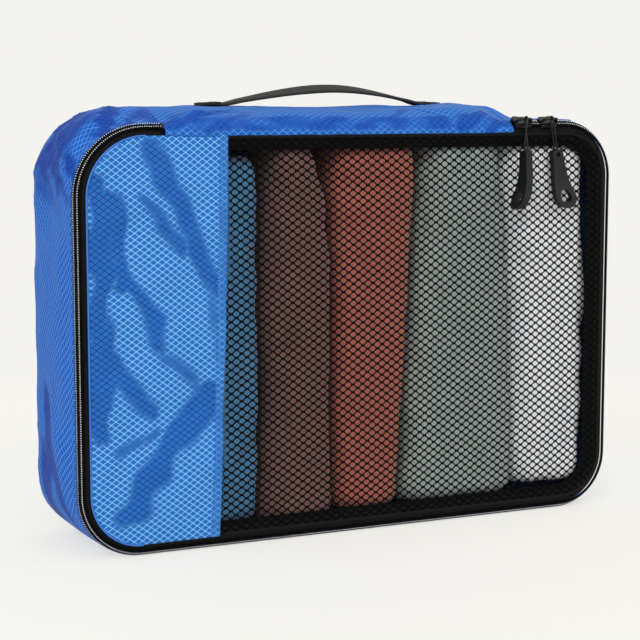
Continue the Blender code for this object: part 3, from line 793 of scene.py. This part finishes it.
def make_net():
    """The net: knitted threads round hexagonal holes, each a real hole.

    A cell is a diamond with a hexagonal hole in it. A side of the hole faces either one corner of the
    diamond or the edge between two of them.
    """
    hole = [(0, 1.72), (-1.9, 0.55), (-1.9, -0.55), (0, -1.72), (1.9, -0.55), (1.9, 0.55)]
    corners = [(0, NET_Z / 2), (-NET_X / 2, 0), (0, -NET_Z / 2), (NET_X / 2, 0)]
    nearest = [0, 1, 1, 2, 3, 3]  # the corner that each point of the hole lies closest to
    top = FRONT_HEIGHT - PANEL_INSET
    verts, faces = [], []
    for i, x in enumerate(np.arange(-96, WIDTH / 2, NET_X / 2)):
        for z in np.arange(PANEL_INSET - 2 + (i % 2) * NET_Z / 2, top + 2, NET_Z):
            across = split_x(z) + 0.5 < x < edge_inset_x(z, 7.6, "right") - 0.6
            if not (across and 7.8 < z < top - 0.8):
                continue
            start = len(verts)
            verts += [(x + a, z + b) for a, b in corners + hole]
            for k, corner in enumerate(nearest):
                after = (k + 1) % 6
                face = [start + corner, start + 4 + k, start + 4 + after]
                if nearest[after] != corner:
                    face.append(start + nearest[after])
                faces.append(face)
    flat = np.array(verts)
    mesh = bpy.data.meshes.new("net_panel")
    mesh.from_pydata((on_front(flat[:, 0], flat[:, 1], 0.0) * MM).tolist(), [], faces)
    merge_points(mesh, 0.05 * MM)
    mesh.uv_layers.new(name="UVMap")
    mesh.shade_smooth()
    add("net_panel", mesh, NET_BLACK, "flap", ["front_mesh_panel"], 0.3)


def make_net_edges():
    """The net's bound edge on three sides and along the top, and the black tape behind it, which on the right
    reaches further in as a dark sheet of painted shade over the inner wall.
    """
    fine = stations(4.0, 14, closed=True)
    rows = []
    for inset, back in ((6.7, 0.9), (6.9, 0.1), (7.3, -0.25), (8.0, -0.3), (8.6, -0.2), (8.8, 0.4)):
        flat = ring(fine, inset, FRONT_HEIGHT - inset)
        rows.append(on_front(flat[:, 0], flat[:, 1], back))
    points = np.array(rows)
    keep = np.where(points[2, :, 0] > split_x(points[2, :, 2]) + 0.2)[0]
    breaks = np.where(np.diff(keep) > 1)[0]
    if len(breaks):
        keep = np.roll(keep, -(breaks[0] + 1))
    add_grid("net_edge_binding", points[:, keep], TAPE_BLACK, "flap", "tape_black")
    rows = []
    for inset, back in ((7.5, 0.7), (10.0, 1.0), (12.0, 1.2), (14.2, 1.4), (15.0, 1.9)):
        flat = ring(fine, inset, FRONT_HEIGHT - inset)
        # Painted shade: on the right the tape reaches further in, a dark sheet where the inner wall lies in
        # shade behind the net.
        flat[:, 0] -= (inset - 7.5) * 0.45 * smooth((flat[:, 0] - 120.0) / 30.0)
        wave = noise2(np.arange(len(flat)) / 9.0, np.full(len(flat), inset / 9.0), 47)
        rows.append(on_front(flat[:, 0], flat[:, 1], back + wave * 0.3))
    add_grid("seam_tape_and_shade_sheet", np.array(rows), TAPE_BLACK, "flap", "tape_black",
             ["flap_seam_binding"], 0.4, closed=True)


# The zip


ZIP_SPLIT_ANGLE = 77.0  # where on the top right corner the zip's closed end begins


def zip_arc(start, stop, radius, steps):
    return [zip_section(mix(start, stop, k / steps), radius) for k in range(steps + 1)]


def split_station(whole):
    """The last station before the closed end of the zip, on the top right corner."""
    return max(k for k, (a, b, _) in enumerate(whole) if a[0] == b[0] == 3 and a[1] <= ZIP_SPLIT_ANGLE)


def make_tapes():
    """The tape on the walls, the tape on the front, and the closed end beyond the sliders."""
    whole = stations(4.0, 14)
    last = split_station(whole)
    wall = zip_arc(0, 31, TAPE_R, 5)
    front = zip_arc(33, 90, TAPE_R, 8) + [(ARC_Y - TAPE_R + 0.1, 13.0, FRONT_HEIGHT - 13.0)]
    for node, body, path, sections in (
        ("zip_tape_wall", "shell", whole[: last + 1], [(-28.0, 1.9, FRONT_HEIGHT - 1.9)] + wall),
        ("zip_tape_flap", "flap", whole, front),
        ("zip_end_tape", "flap", whole[last + 1 :], [(-30.6, 1.9, FRONT_HEIGHT - 1.9)] + wall),
    ):
        points = loft(path, sections)
        add_grid(node + "_woven", points, TAPE_BLACK, body, "tape_black", [node], 0.5, flip=True)


def resample(path, out, pitch):
    """Evenly spaced places along a path, with the directions along it, across to the front, and outwards."""
    travelled = np.concatenate([[0], np.cumsum(np.linalg.norm(np.diff(path, axis=0), axis=1))])
    at = np.arange(pitch / 2, travelled[-1], pitch)
    spots = np.stack([np.interp(at, travelled, path[:, k]) for k in range(3)], 1)
    outward = unit(np.stack([np.interp(at, travelled, out[:, k]) for k in range(3)], 1))
    along = unit(np.gradient(spots, axis=0))
    across = unit(np.cross(outward, along))
    if across[0, 1] > 0:
        across = -across
    return spots, along, across, outward


COIL_PITCH = 1.3


def make_coil(node, path, out, side, body, phase):
    """One half of the coil: a flattened spiral of monofilament, and the pale thread that sews it down, one
    stitch on top of each turn, which also stands in as a painted highlight there.
    """
    per_turn = 10
    places, along, across, outward = resample(path, out, COIL_PITCH / per_turn)
    turn = np.arange(len(places)) * 2 * pi / per_turn + phase
    reach = side * (1.15 + 1.45 * np.cos(turn))
    height = 0.55 + 0.62 * np.sin(turn)
    spiral = places + across * reach[:, None] + outward * height[:, None]
    tangent = unit(np.gradient(spiral, axis=0))
    first = unit(np.cross(tangent, along))
    mesh = tube_mesh(node + "_turns", wrap(spiral, 0.36, first, np.cross(tangent, first), turns(5)))
    add(node + "_turns", mesh, COIL_BLACK, body, [node])
    # Pale stitches on each turn's top: real thread, and also a painted highlight on the turns.
    spots, along, across, outward = resample(path, out, COIL_PITCH)
    spots = spots + across * (side * 1.45) + outward * 1.3
    mesh = stitches(node + "_turns_thread_and_glints", spots, (across, along, outward), (0.9, 0.55, 0.34))
    add(node + "_turns_thread_and_glints", mesh, COIL_THREAD_AND_GLINT, body)


def make_zip():
    make_tapes()
    whole = stations(1.5, 26, ZIP_LEFT - 2.4, ZIP_RIGHT + 2.4)
    centre, beyond = loft(whole, [zip_section(COIL_MID, COIL_R), zip_section(COIL_MID, COIL_R + 1.0)])
    out = unit(beyond - centre)
    cut = split_station(whole)
    make_coil("zip_coil_wall", centre[: cut + 1], out[: cut + 1], -1, "shell", 0.0)
    make_coil("zip_coil_flap", centre, out, 1, "flap", pi)
    make_coil("zip_end_coil", centre[cut:], out[cut:], -1, "flap", 0.0)


def zip_frame(x):
    """A slider's frame on the top edge, in millimetres: X along the zip, Y to the front, Z out of the zip."""
    centre_y, _, centre_z = zip_section(COIL_MID, 8.3)
    tilt = radians(COIL_MID)
    out = Vector((0, -sin(tilt), cos(tilt)))
    towards_flap = Vector((0, -cos(tilt), -sin(tilt)))
    turned = Matrix((Vector((-1, 0, 0)), towards_flap, out)).transposed().to_4x4()
    return Matrix.Translation(Vector((x, centre_y, centre_z))) @ turned


def moved(matrix, points):
    return np.array([tuple(matrix @ Vector(p)) for p in points])


def bevelled(obj, width, segments=3, angle=30):
    modifier = obj.modifiers.new("rounded_edges", "BEVEL")
    modifier.width = width * MM
    modifier.segments = segments
    modifier.limit_method = "ANGLE"
    modifier.angle_limit = radians(angle)
    return obj


def plate_mesh(name, outlines, thickness, matrix):
    """A flat plate from outlines in its X-Y plane, lifted along Z, all in millimetres."""
    curve = bpy.data.curves.new(name, "CURVE")
    curve.dimensions = "2D"
    curve.fill_mode = "BOTH"
    curve.extrude = thickness / 2
    for outline in outlines:
        spline = curve.splines.new("POLY")
        spline.points.add(len(outline) - 1)
        spline.use_cyclic_u = True
        for point, (x, y) in zip(spline.points, outline):
            point.co = (x, y, 0.0, 1.0)
    mesh = bake(link_new(name, curve))
    shape = bmesh.new()
    shape.from_mesh(mesh)
    bmesh.ops.remove_doubles(shape, verts=shape.verts, dist=0.001)
    bmesh.ops.transform(shape, matrix=Matrix.Scale(MM, 4) @ matrix, verts=shape.verts)
    shape.to_mesh(mesh)
    shape.free()
    mesh.uv_layers.new(name="UVMap")
    return mesh


def slider_outline(side):
    """A waisted plate, wider at the end where the zip opens."""
    narrow, wide = 3.3, 4.3
    opening = 1 if side == "left" else -1
    outline = []
    for a in turns(40):
        along = 6.2 * np.sign(cos(a)) * abs(cos(a)) ** 0.55
        half = mix(narrow, wide, smooth((along * opening + 6.0) / 12.0)) - 0.5 * hump(along, 0.5, 2.0)
        outline.append((along, half * np.sign(sin(a)) * abs(sin(a)) ** 0.5))
    return outline


def make_slider(side, x):
    """A slider: a waisted top plate with two lips, a lower plate, and the crown that carries the pull."""
    body = "slider_" + side
    matrix = zip_frame(x)
    outline = slider_outline(side)
    base = [(p * 0.92, q * 0.85) for p, q in outline]
    lip = [(-5.4, 0), (5.4, 0), (5.4, 0.9), (-5.4, 0.9)]
    for part, shape, thickness, place_at, edge, replaced in (
        ("_top_plate", outline, 1.7, (0, 0, 3.2), 0.35, [body + "_upper_wing"]),
        ("_base_plate", base, 0.9, (0, 0, -2.9), 0.3, [body + "_lower_wing"]),
        ("_lip_1", lip, 1.9, (0, -3.35 - 0.45, 1.4), 0.3, ()),
        ("_lip_2", lip, 1.9, (0, 3.35 - 0.45, 1.4), 0.3, ()),
    ):
        mesh = plate_mesh(body + part, [shape], thickness, matrix @ Matrix.Translation(place_at))
        bevelled(add(body + part, mesh, ENAMEL, body, replaced), edge)
    route = [(-4.9, 1.2, 3.0), (-4.9, 1.7, 4.3), (-4.4, 2.7, 5.8), (-3.4, 3.6, 6.8), (-2.2, 3.8, 7.0),
             (0, 3.8, 7.05)]
    route = np.array(route + [(-p, q, r) for p, q, r in reversed(route[:-1])])
    coarse, even = np.linspace(0, 1, len(route)), np.linspace(0, 1, 41)
    fine = np.stack([np.interp(even, coarse, route[:, k]) for k in range(3)], 1)
    for _ in range(3):
        fine[1:-1] = (fine[:-2] + 2 * fine[1:-1] + fine[2:]) / 4
    radii = 0.85 + 0.35 * np.abs(np.linspace(-1, 1, 41)) ** 2
    mesh = tube_mesh(body + "_crown_bar", tube_along(moved(matrix, fine), radii, 10))
    add(body + "_crown_bar", mesh, ENAMEL, body, [body + "_crown"])


LINK_LENGTH, LINK_RADIUS, LINK_WIRE = 24.0, 1.5, 0.5
LINK_REACH = LINK_LENGTH - 2 * (LINK_RADIUS + 0.45)
PULL_LENGTH, PULL_END_R, PULL_HOLE_R, PULL_BOW = 35.0, 6.9, 4.0, 6.5
SLIDER_SHIFT = -6.5  # the sliders are drawn this far along X from the frame's
CROWN_BAR = Vector((0, 3.8, 7.0))  # where the link hangs, in the slider's frame


def link_route(twist):
    """A long wire loop that turns by twist on its way down."""
    loop = [(LINK_RADIUS * cos(pi * k / 10), LINK_RADIUS * sin(pi * k / 10)) for k in range(11)]
    side = [-LINK_REACH * k / 9 for k in range(1, 9)]
    flat = loop + [(-LINK_RADIUS, z) for z in side] + [(-a, -h - LINK_REACH) for a, h in loop]
    flat += [(LINK_RADIUS, z) for z in reversed(side)]
    route = []
    for across, z in flat:
        turn = twist * min(1.0, max(0.0, -z / LINK_REACH))
        route.append((across * sin(turn), across * cos(turn), z))
    return route


def pull_outline():
    """The grip's outline: square shoulders, sides that widen, and a round end."""
    low = PULL_LENGTH - PULL_END_R
    right = []
    for k in range(17):
        down = mix(0.7, low, k / 16)
        right.append((mix(3.5, PULL_END_R, min(1.0, (down / low)) ** 1.9), -down))
    bottom = [(PULL_END_R * cos(pi * k / 20), -low - PULL_END_R * sin(pi * k / 20)) for k in range(1, 20)]
    left = [(-a, z) for a, z in reversed(right)]
    return [(2.8, 0.0)] + right + bottom + left + [(-2.8, 0.0)]


def drop_hole():
    """The hole in the grip's end: round below, drawn to a blunt point above."""
    low = -(PULL_LENGTH - PULL_END_R)
    shape = []
    for a in turns(28):
        radius = PULL_HOLE_R - 0.35 * (1 - abs(sin(a))) + (0.35 if sin(a) > 0 else -0.2) * abs(sin(a)) ** 3
        shape.append((radius * cos(a) * (1 - 0.18 * max(0.0, sin(a))), low + radius * sin(a)))
    return shape


def grip_mesh(name):
    """The grip: a plate with an eye and a hole, rounded edges, a raised spine down it and a bow outwards."""
    eye = [(1.2 * cos(a), -2.7 + 1.5 * sin(a)) for a in turns(14)]
    flat = plate_mesh(name, [pull_outline(), eye, drop_hole()], 4.4, Matrix.Identity(4))
    shape = bmesh.new()
    shape.from_mesh(flat)
    for k in range(1, 24):
        bmesh.ops.bisect_plane(shape, geom=shape.verts[:] + shape.edges[:] + shape.faces[:],
                               plane_co=(0, -PULL_LENGTH * k / 24 * MM, 0), plane_no=(0, 1, 0))
    shape.to_mesh(flat)
    shape.free()
    mesh = bake(bevelled(link_new("holder", flat), 1.4, 4, 50))
    co = np.zeros(len(mesh.vertices) * 3)
    mesh.vertices.foreach_get("co", co)
    co = co.reshape(-1, 3) / MM
    x, z, y = co[:, 0], co[:, 1], -co[:, 2]
    down = np.clip(-z / PULL_LENGTH, 0, 1)
    y = y + np.sign(y) * 0.35 * hump(x, 0.0, 1.6) * smooth((0.62 - down) / 0.2) * smooth(down / 0.08)
    bend = np.clip((down - 0.35) / 0.65, 0, 1)
    y = y - PULL_BOW * bend * bend
    return mesh, np.stack([x, y, z], 1)


def make_pull(side, pivot, lean, swing, twist):
    """A pull: its wire link and its grip. lean, swing and twist are in degrees."""
    body = "pull_" + side
    matrix = Matrix.Translation(Vector(pivot)) @ Matrix.Rotation(radians(swing), 4, "Y")
    matrix = matrix @ Matrix.Rotation(radians(lean), 4, "X")
    route = moved(matrix, link_route(radians(twist)))
    tangent = unit(np.gradient(np.concatenate([route[-2:], route, route[:3]]), axis=0)[2:-3])
    first = unit(np.cross(tangent, route - route.mean(0)))
    rows = wrap(route, LINK_WIRE, first, np.cross(tangent, first), turns(8))
    add_grid(body + "_wire_link", np.concatenate([rows, rows[:1]]), ENAMEL, body, "metal_black",
             [body + "_link"], closed=True)
    mesh, points = grip_mesh(body + "_grip")
    hang = Matrix.Translation((0, 0, -LINK_REACH - LINK_RADIUS + 2.7))
    hang = hang @ Matrix.Rotation(radians(-twist), 4, "Z")
    mesh.vertices.foreach_set("co", (moved(matrix @ hang, points) * MM).ravel())
    mesh.shade_smooth()
    mesh.set_sharp_from_angle(angle=radians(60))
    mesh.name = body + "_grip"
    mesh.materials.clear()
    add(body + "_grip", mesh, RUBBER, body, [body + "_tab"])


def restyle(node, material):
    """Gives a carried-over node a better material."""
    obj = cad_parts[node]
    obj.data.materials.clear()
    obj.data.materials.append(material)
    bevelled(obj, 0.25, 2)


def make_sliders():
    for side, x, lean, swing, twist in (("left", 113.5, -5.5, 3.0, 88.0), ("right", 131.5, 0.0, -9.5, 0.0)):
        make_slider(side, x + SLIDER_SHIFT)
        make_pull(side, zip_frame(x + SLIDER_SHIFT) @ CROWN_BAR, lean, swing, twist)
    for node in ("zip_stop_left", "zip_stop_right"):
        restyle(node, ENAMEL)


# The handle

HANDLE_X, HANDLE_Y, HANDLE_SPAN, HANDLE_RISE, HANDLE_W, HANDLE_T = -4.5, 8.0, 66.5, 9.4, 14.0, 2.0
APEX_SHIFT = 6.0
LEAN = radians(10.0)


def strap_height(x):
    """A low arch whose ends run out flat."""
    share = np.clip((HANDLE_SPAN + 3.0 - np.abs(x)) / (HANDLE_SPAN + 3.0), 0, 1)
    return HANDLE_RISE * np.sin(share * pi / 2) ** 1.25 * smooth(share / 0.22)


def make_handle():
    """The webbing strap, and its two folded ends with their rows of stitches."""
    base = TOP_Z + 0.3
    xs = np.linspace(-HANDLE_SPAN - 6, HANDLE_SPAN + 6, 150)
    height = strap_height(xs - APEX_SHIFT * (1 - (xs / xs[-1]) ** 2))
    roll = radians(15.0) * height / HANDLE_RISE
    section = []
    half, thick = HANDLE_W / 2, HANDLE_T / 2
    for a in turns(28):
        across = half * np.sign(cos(a)) * abs(cos(a)) ** 0.35
        up = thick * np.sign(sin(a)) * abs(sin(a)) ** 0.5
        section.append((across, up))
    rows = []
    for across, up in section:
        lip = 0.12 * noise2(xs / 30.0, np.full_like(xs, across / 6.0), 51)
        y = HANDLE_Y - height * sin(LEAN) + across * np.cos(roll) - up * np.sin(roll)
        z = base + thick + height * cos(LEAN) + across * np.sin(roll) + up * np.cos(roll) + lip
        rows.append(np.stack([xs + HANDLE_X, y, z], 1))
    rows.append(rows[0])
    strap = add_grid("handle_webbing", np.array(rows)[::-1], WEBBING, "handle", "webbing_black",
                     ["handle_strap"], ride=False)
    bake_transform(strap)
    outline = [(-5.4, -7.3), (5.4, -7.3), (5.7, -6.9), (5.7, 6.9), (5.4, 7.3), (-5.4, 7.3), (-5.7, 6.9),
               (-5.7, -6.9)]
    axes = (0, 1.0, 0), (1.0, 0, 0), (0, 0, 1.0)
    for side, sign in (("left", -1), ("right", 1)):
        name = "handle_end_" + side
        x = HANDLE_X + sign * 71.7
        centre = Matrix.Translation((x, HANDLE_Y, base + 1.5)) @ Matrix.Rotation(radians(sign * 3), 4, "Y")
        mesh = plate_mesh(name + "_fold", [outline], 1.7, centre)
        bevelled(add(name + "_fold", mesh, WEBBING, "shell", [name]), 0.7, 4)
        places = [(x + row, HANDLE_Y - 5.8 + k * 1.16, base + 2.35 - sign * row * 0.052)
                  for row in (-3.8, 3.4) for k in range(11)]
        mesh = stitches("handle_stitching_" + side, places, axes, (1.0, 0.5, 0.25))
        add("handle_stitching_" + side, mesh, THREAD_BLACK, "shell", ["bar_tack_" + side])


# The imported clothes, which give the cube its shape


def crease(x, z, start, end, depth, width):
    """A soft valley along a line from start to end, both (x, z)."""
    (x0, z0), (x1, z1) = start, end
    length = ((x1 - x0) ** 2 + (z1 - z0) ** 2) ** 0.5
    ux, uz = (x1 - x0) / length, (z1 - z0) / length
    along = (x - x0) * ux + (z - z0) * uz
    across = (z - z0) * ux - (x - x0) * uz
    taper = smooth(along / 6.0 + 0.6) * smooth((length - along) / (0.5 * length))
    return depth * np.exp(-((across / width) ** 2)) * taper


def make_garment(name, edges, colour, seed, creases=(), shade=0.72):
    """A folded garment on its edge. edges gives (z, left, right) of its front, from the bottom up."""
    edges = np.array(edges, float)
    bottom, top = edges[0, 0], edges[-1, 0]
    around = np.linspace(0, 2 * pi, 181)[:-1]
    levels = bottom + (top - bottom) * np.sin(np.linspace(-pi / 2, pi / 2, 130)) * 0.5 + (top - bottom) * 0.5
    knots = [np.interp(levels, edges[:, 0], edges[:, k]) for k in (1, 2)]
    kernel = np.hanning(17) / np.hanning(17).sum()
    left, right = (np.convolve(np.pad(k, 8, mode="edge"), kernel, "valid") for k in knots)
    ca, sa = np.cos(around), np.sin(around)
    side_x = np.sign(ca) * np.abs(ca) ** 0.55
    side_y = np.sign(sa) * np.abs(sa) ** 0.5
    rows = []
    for k, z in enumerate(levels):
        near = min(z - bottom, top - z)
        cap = sqrt(max(0.0, 1 - (1 - min(1.0, near / 11.0)) ** 2.2))
        half = (right[k] - left[k]) / 2
        x = (left[k] + right[k]) / 2 + half * side_x * mix(0.88, 1.0, cap)
        height = np.full_like(x, z)
        x = x + noise2(height / 13.0, np.full_like(x, 0.3) + side_x, seed) * 0.7
        face = front_y(x, height) + 2.2 + mix(12.0, 0.0, cap)
        back = 26.0 - mix(10.0, 0.0, cap)
        y = mix(face, back, (side_y + 1) / 2)
        front = smooth(-side_y)
        soft = noise2(x / 12.0, height / 55.0, seed + 1) * 1.3
        soft = soft + noise2(x / 6.0 + height / 60.0, height / 26.0, seed + 2) * 0.6
        tuck = (1 - np.abs(noise2(x / 26.0 + height / 120.0, height / 80.0, seed + 3))) ** 6 * 1.8
        dent = 0.9 + soft + tuck
        for start, end, depth, width in creases:
            dent = dent + 1.5 * crease(x, height, start, end, depth, width)
        y = y + front * np.maximum(dent, 0.0)
        rows.append(np.stack([x, y, height], 1))
    points = np.array(rows)
    caps = [np.tile(points[k].mean(0), (len(around), 1)) for k in (0, -1)]
    rings = [points[0] * 0.6 + caps[0] * 0.4, points[-1] * 0.6 + caps[1] * 0.4]
    points = np.concatenate([caps[0][None], rings[0][None], points, rings[1][None], caps[1][None]])
    mesh = grid_mesh(name, points, cloth_uv(points), closed=True)
    merge_points(mesh, 0.02 * MM)
    add(name, mesh, jersey(name + "_cloth", colour, shade), "shell")


def make_clothes():
    """Five garments, left to right."""
    teal = [(10, -126, -60), (110, -128, -59.5), (220, -124, -60.5)]
    brown = [(8, -59, -12.5), (60, -56, -15.5), (90, -53, -16), (110, -57, -15.5), (170, -56, -16),
             (195, -53, -18), (214, -53, -25), (226, -53, -27)]
    rust = [(11, -11, 29.5), (60, -12.5, 31), (130, -13.5, 35.5), (226, -13.5, 41.5)]
    sage = [(11, 31.5, 110), (60, 33.5, 108), (130, 38, 105.5), (228, 46, 98)]
    lavender = [(15, 111.5, 157), (60, 109, 160), (130, 107, 161), (226, 99.5, 157)]
    brown_creases = [((-58, 98), (-34, 122), 4.5, 5.0), ((-58, 84), (-40, 92), 4.0, 4.0),
                     ((-56, 152), (-38, 164), 2.5, 6.0), ((-20, 178), (-36, 192), 2.0, 5.0)]
    rust_creases = [((-12, 206), (14, 192), 3.2, 7.0), ((-11, 60), (-2, 110), 1.5, 5.0)]
    sage_creases = [((60, 30), (100, 120), 1.2, 10.0), ((62, 210), (80, 120), 1.2, 9.0)]
    make_garment("packed_shirt_teal", teal, rgb(70, 124, 164), 61, [((-62, 60), (-84, 36), 2.4, 4.0)])
    make_garment("packed_shirt_brown", brown, rgb(122, 88, 82), 62, brown_creases)
    make_garment("packed_shirt_rust", rust, rgb(172, 100, 86), 63, rust_creases)
    make_garment("packed_shirt_sage", sage, rgb(160, 171, 167), 64, sage_creases)
    make_garment("packed_shirt_lavender", lavender, rgb(242, 246, 255), 65,
                 [((114, 60), (122, 110), 1.0, 5.0)], 0.93)


# The studio

FLOOR_GLOW = 0.68
BACKDROP = rgb(244, 243, 239)


def emission(look, strength):
    made = look.node("ShaderNodeEmission")
    made.inputs[0].default_value = BACKDROP
    made.inputs[1].default_value = strength
    return made.outputs[0]


def make_studio():
    """A pale floor that melts into the backdrop, soft daylight from all round, and two soft lamps."""
    size = 60.0
    floor = bpy.data.meshes.new("studio_floor")
    corners = [(-size, -size, -0.0003), (size, -size, -0.0003), (size, size, -0.0003), (-size, size, -0.0003)]
    floor.from_pydata(corners, [], [(0, 1, 2, 3)])
    obj = link_new("studio_floor", floor)
    look = Look("studio_floor", 1.0, specular=0.0)
    look.colour((0.27, 0.268, 0.258, 1.0))
    both = look.node("ShaderNodeAddShader")
    look.link(emission(look, FLOOR_GLOW), both.inputs[0])
    look.link(look.shader.outputs[0], both.inputs[1])
    reach = look.node("ShaderNodeVectorMath", operation="LENGTH")
    look.link(look.node("ShaderNodeTexCoord").outputs["Object"], reach.inputs[0])
    swap = look.node("ShaderNodeMixShader")
    look.link(look.step(reach.outputs["Value"], 0.35, 0.75), swap.inputs[0])
    look.link(both.outputs[0], swap.inputs[1])
    look.link(emission(look, 1.0), swap.inputs[2])
    output = next(n for n in look.tree.nodes if n.type == "OUTPUT_MATERIAL")
    look.link(swap.outputs[0], output.inputs["Surface"])
    floor.materials.append(look.material)
    world = bpy.data.worlds.new("studio_world")
    bpy.context.scene.world = world
    world.use_nodes = True
    background = world.node_tree.nodes["Background"]
    background.inputs[0].default_value = BACKDROP
    background.inputs[1].default_value = 1.0
    for name, energy, angle, tilt in (("key_sun", 1.5, 30, (60, 0, -40)), ("fill_sun", 0.9, 50, (66, 0, 8))):
        lamp = bpy.data.lights.new(name, "SUN")
        lamp.energy = energy
        lamp.angle = radians(angle)
        link_new(name, lamp).rotation_euler = [radians(a) for a in tilt]


def make_camera():
    data = bpy.data.cameras.new("camera")
    data.sensor_width = 36.0
    data.lens = 97.77375
    data.clip_end = 20.0
    obj = link_new("camera", data)
    obj.location = (-0.447, -0.9336, 0.2526)
    azimuth, pitch = radians(25.17), radians(7.28)
    forward = Vector((sin(azimuth) * cos(pitch), cos(azimuth) * cos(pitch), -sin(pitch)))
    obj.rotation_euler = forward.to_track_quat("-Z", "Y").to_euler()
    bpy.context.scene.camera = obj
    bpy.context.scene.view_settings.view_transform = "Standard"


make_camera()
make_side_wall()
make_top_fabric()
make_back()
make_front_panel()
make_hem()
make_net()
make_net_edges()
make_zip()
make_sliders()
make_handle()
make_clothes()
make_studio()
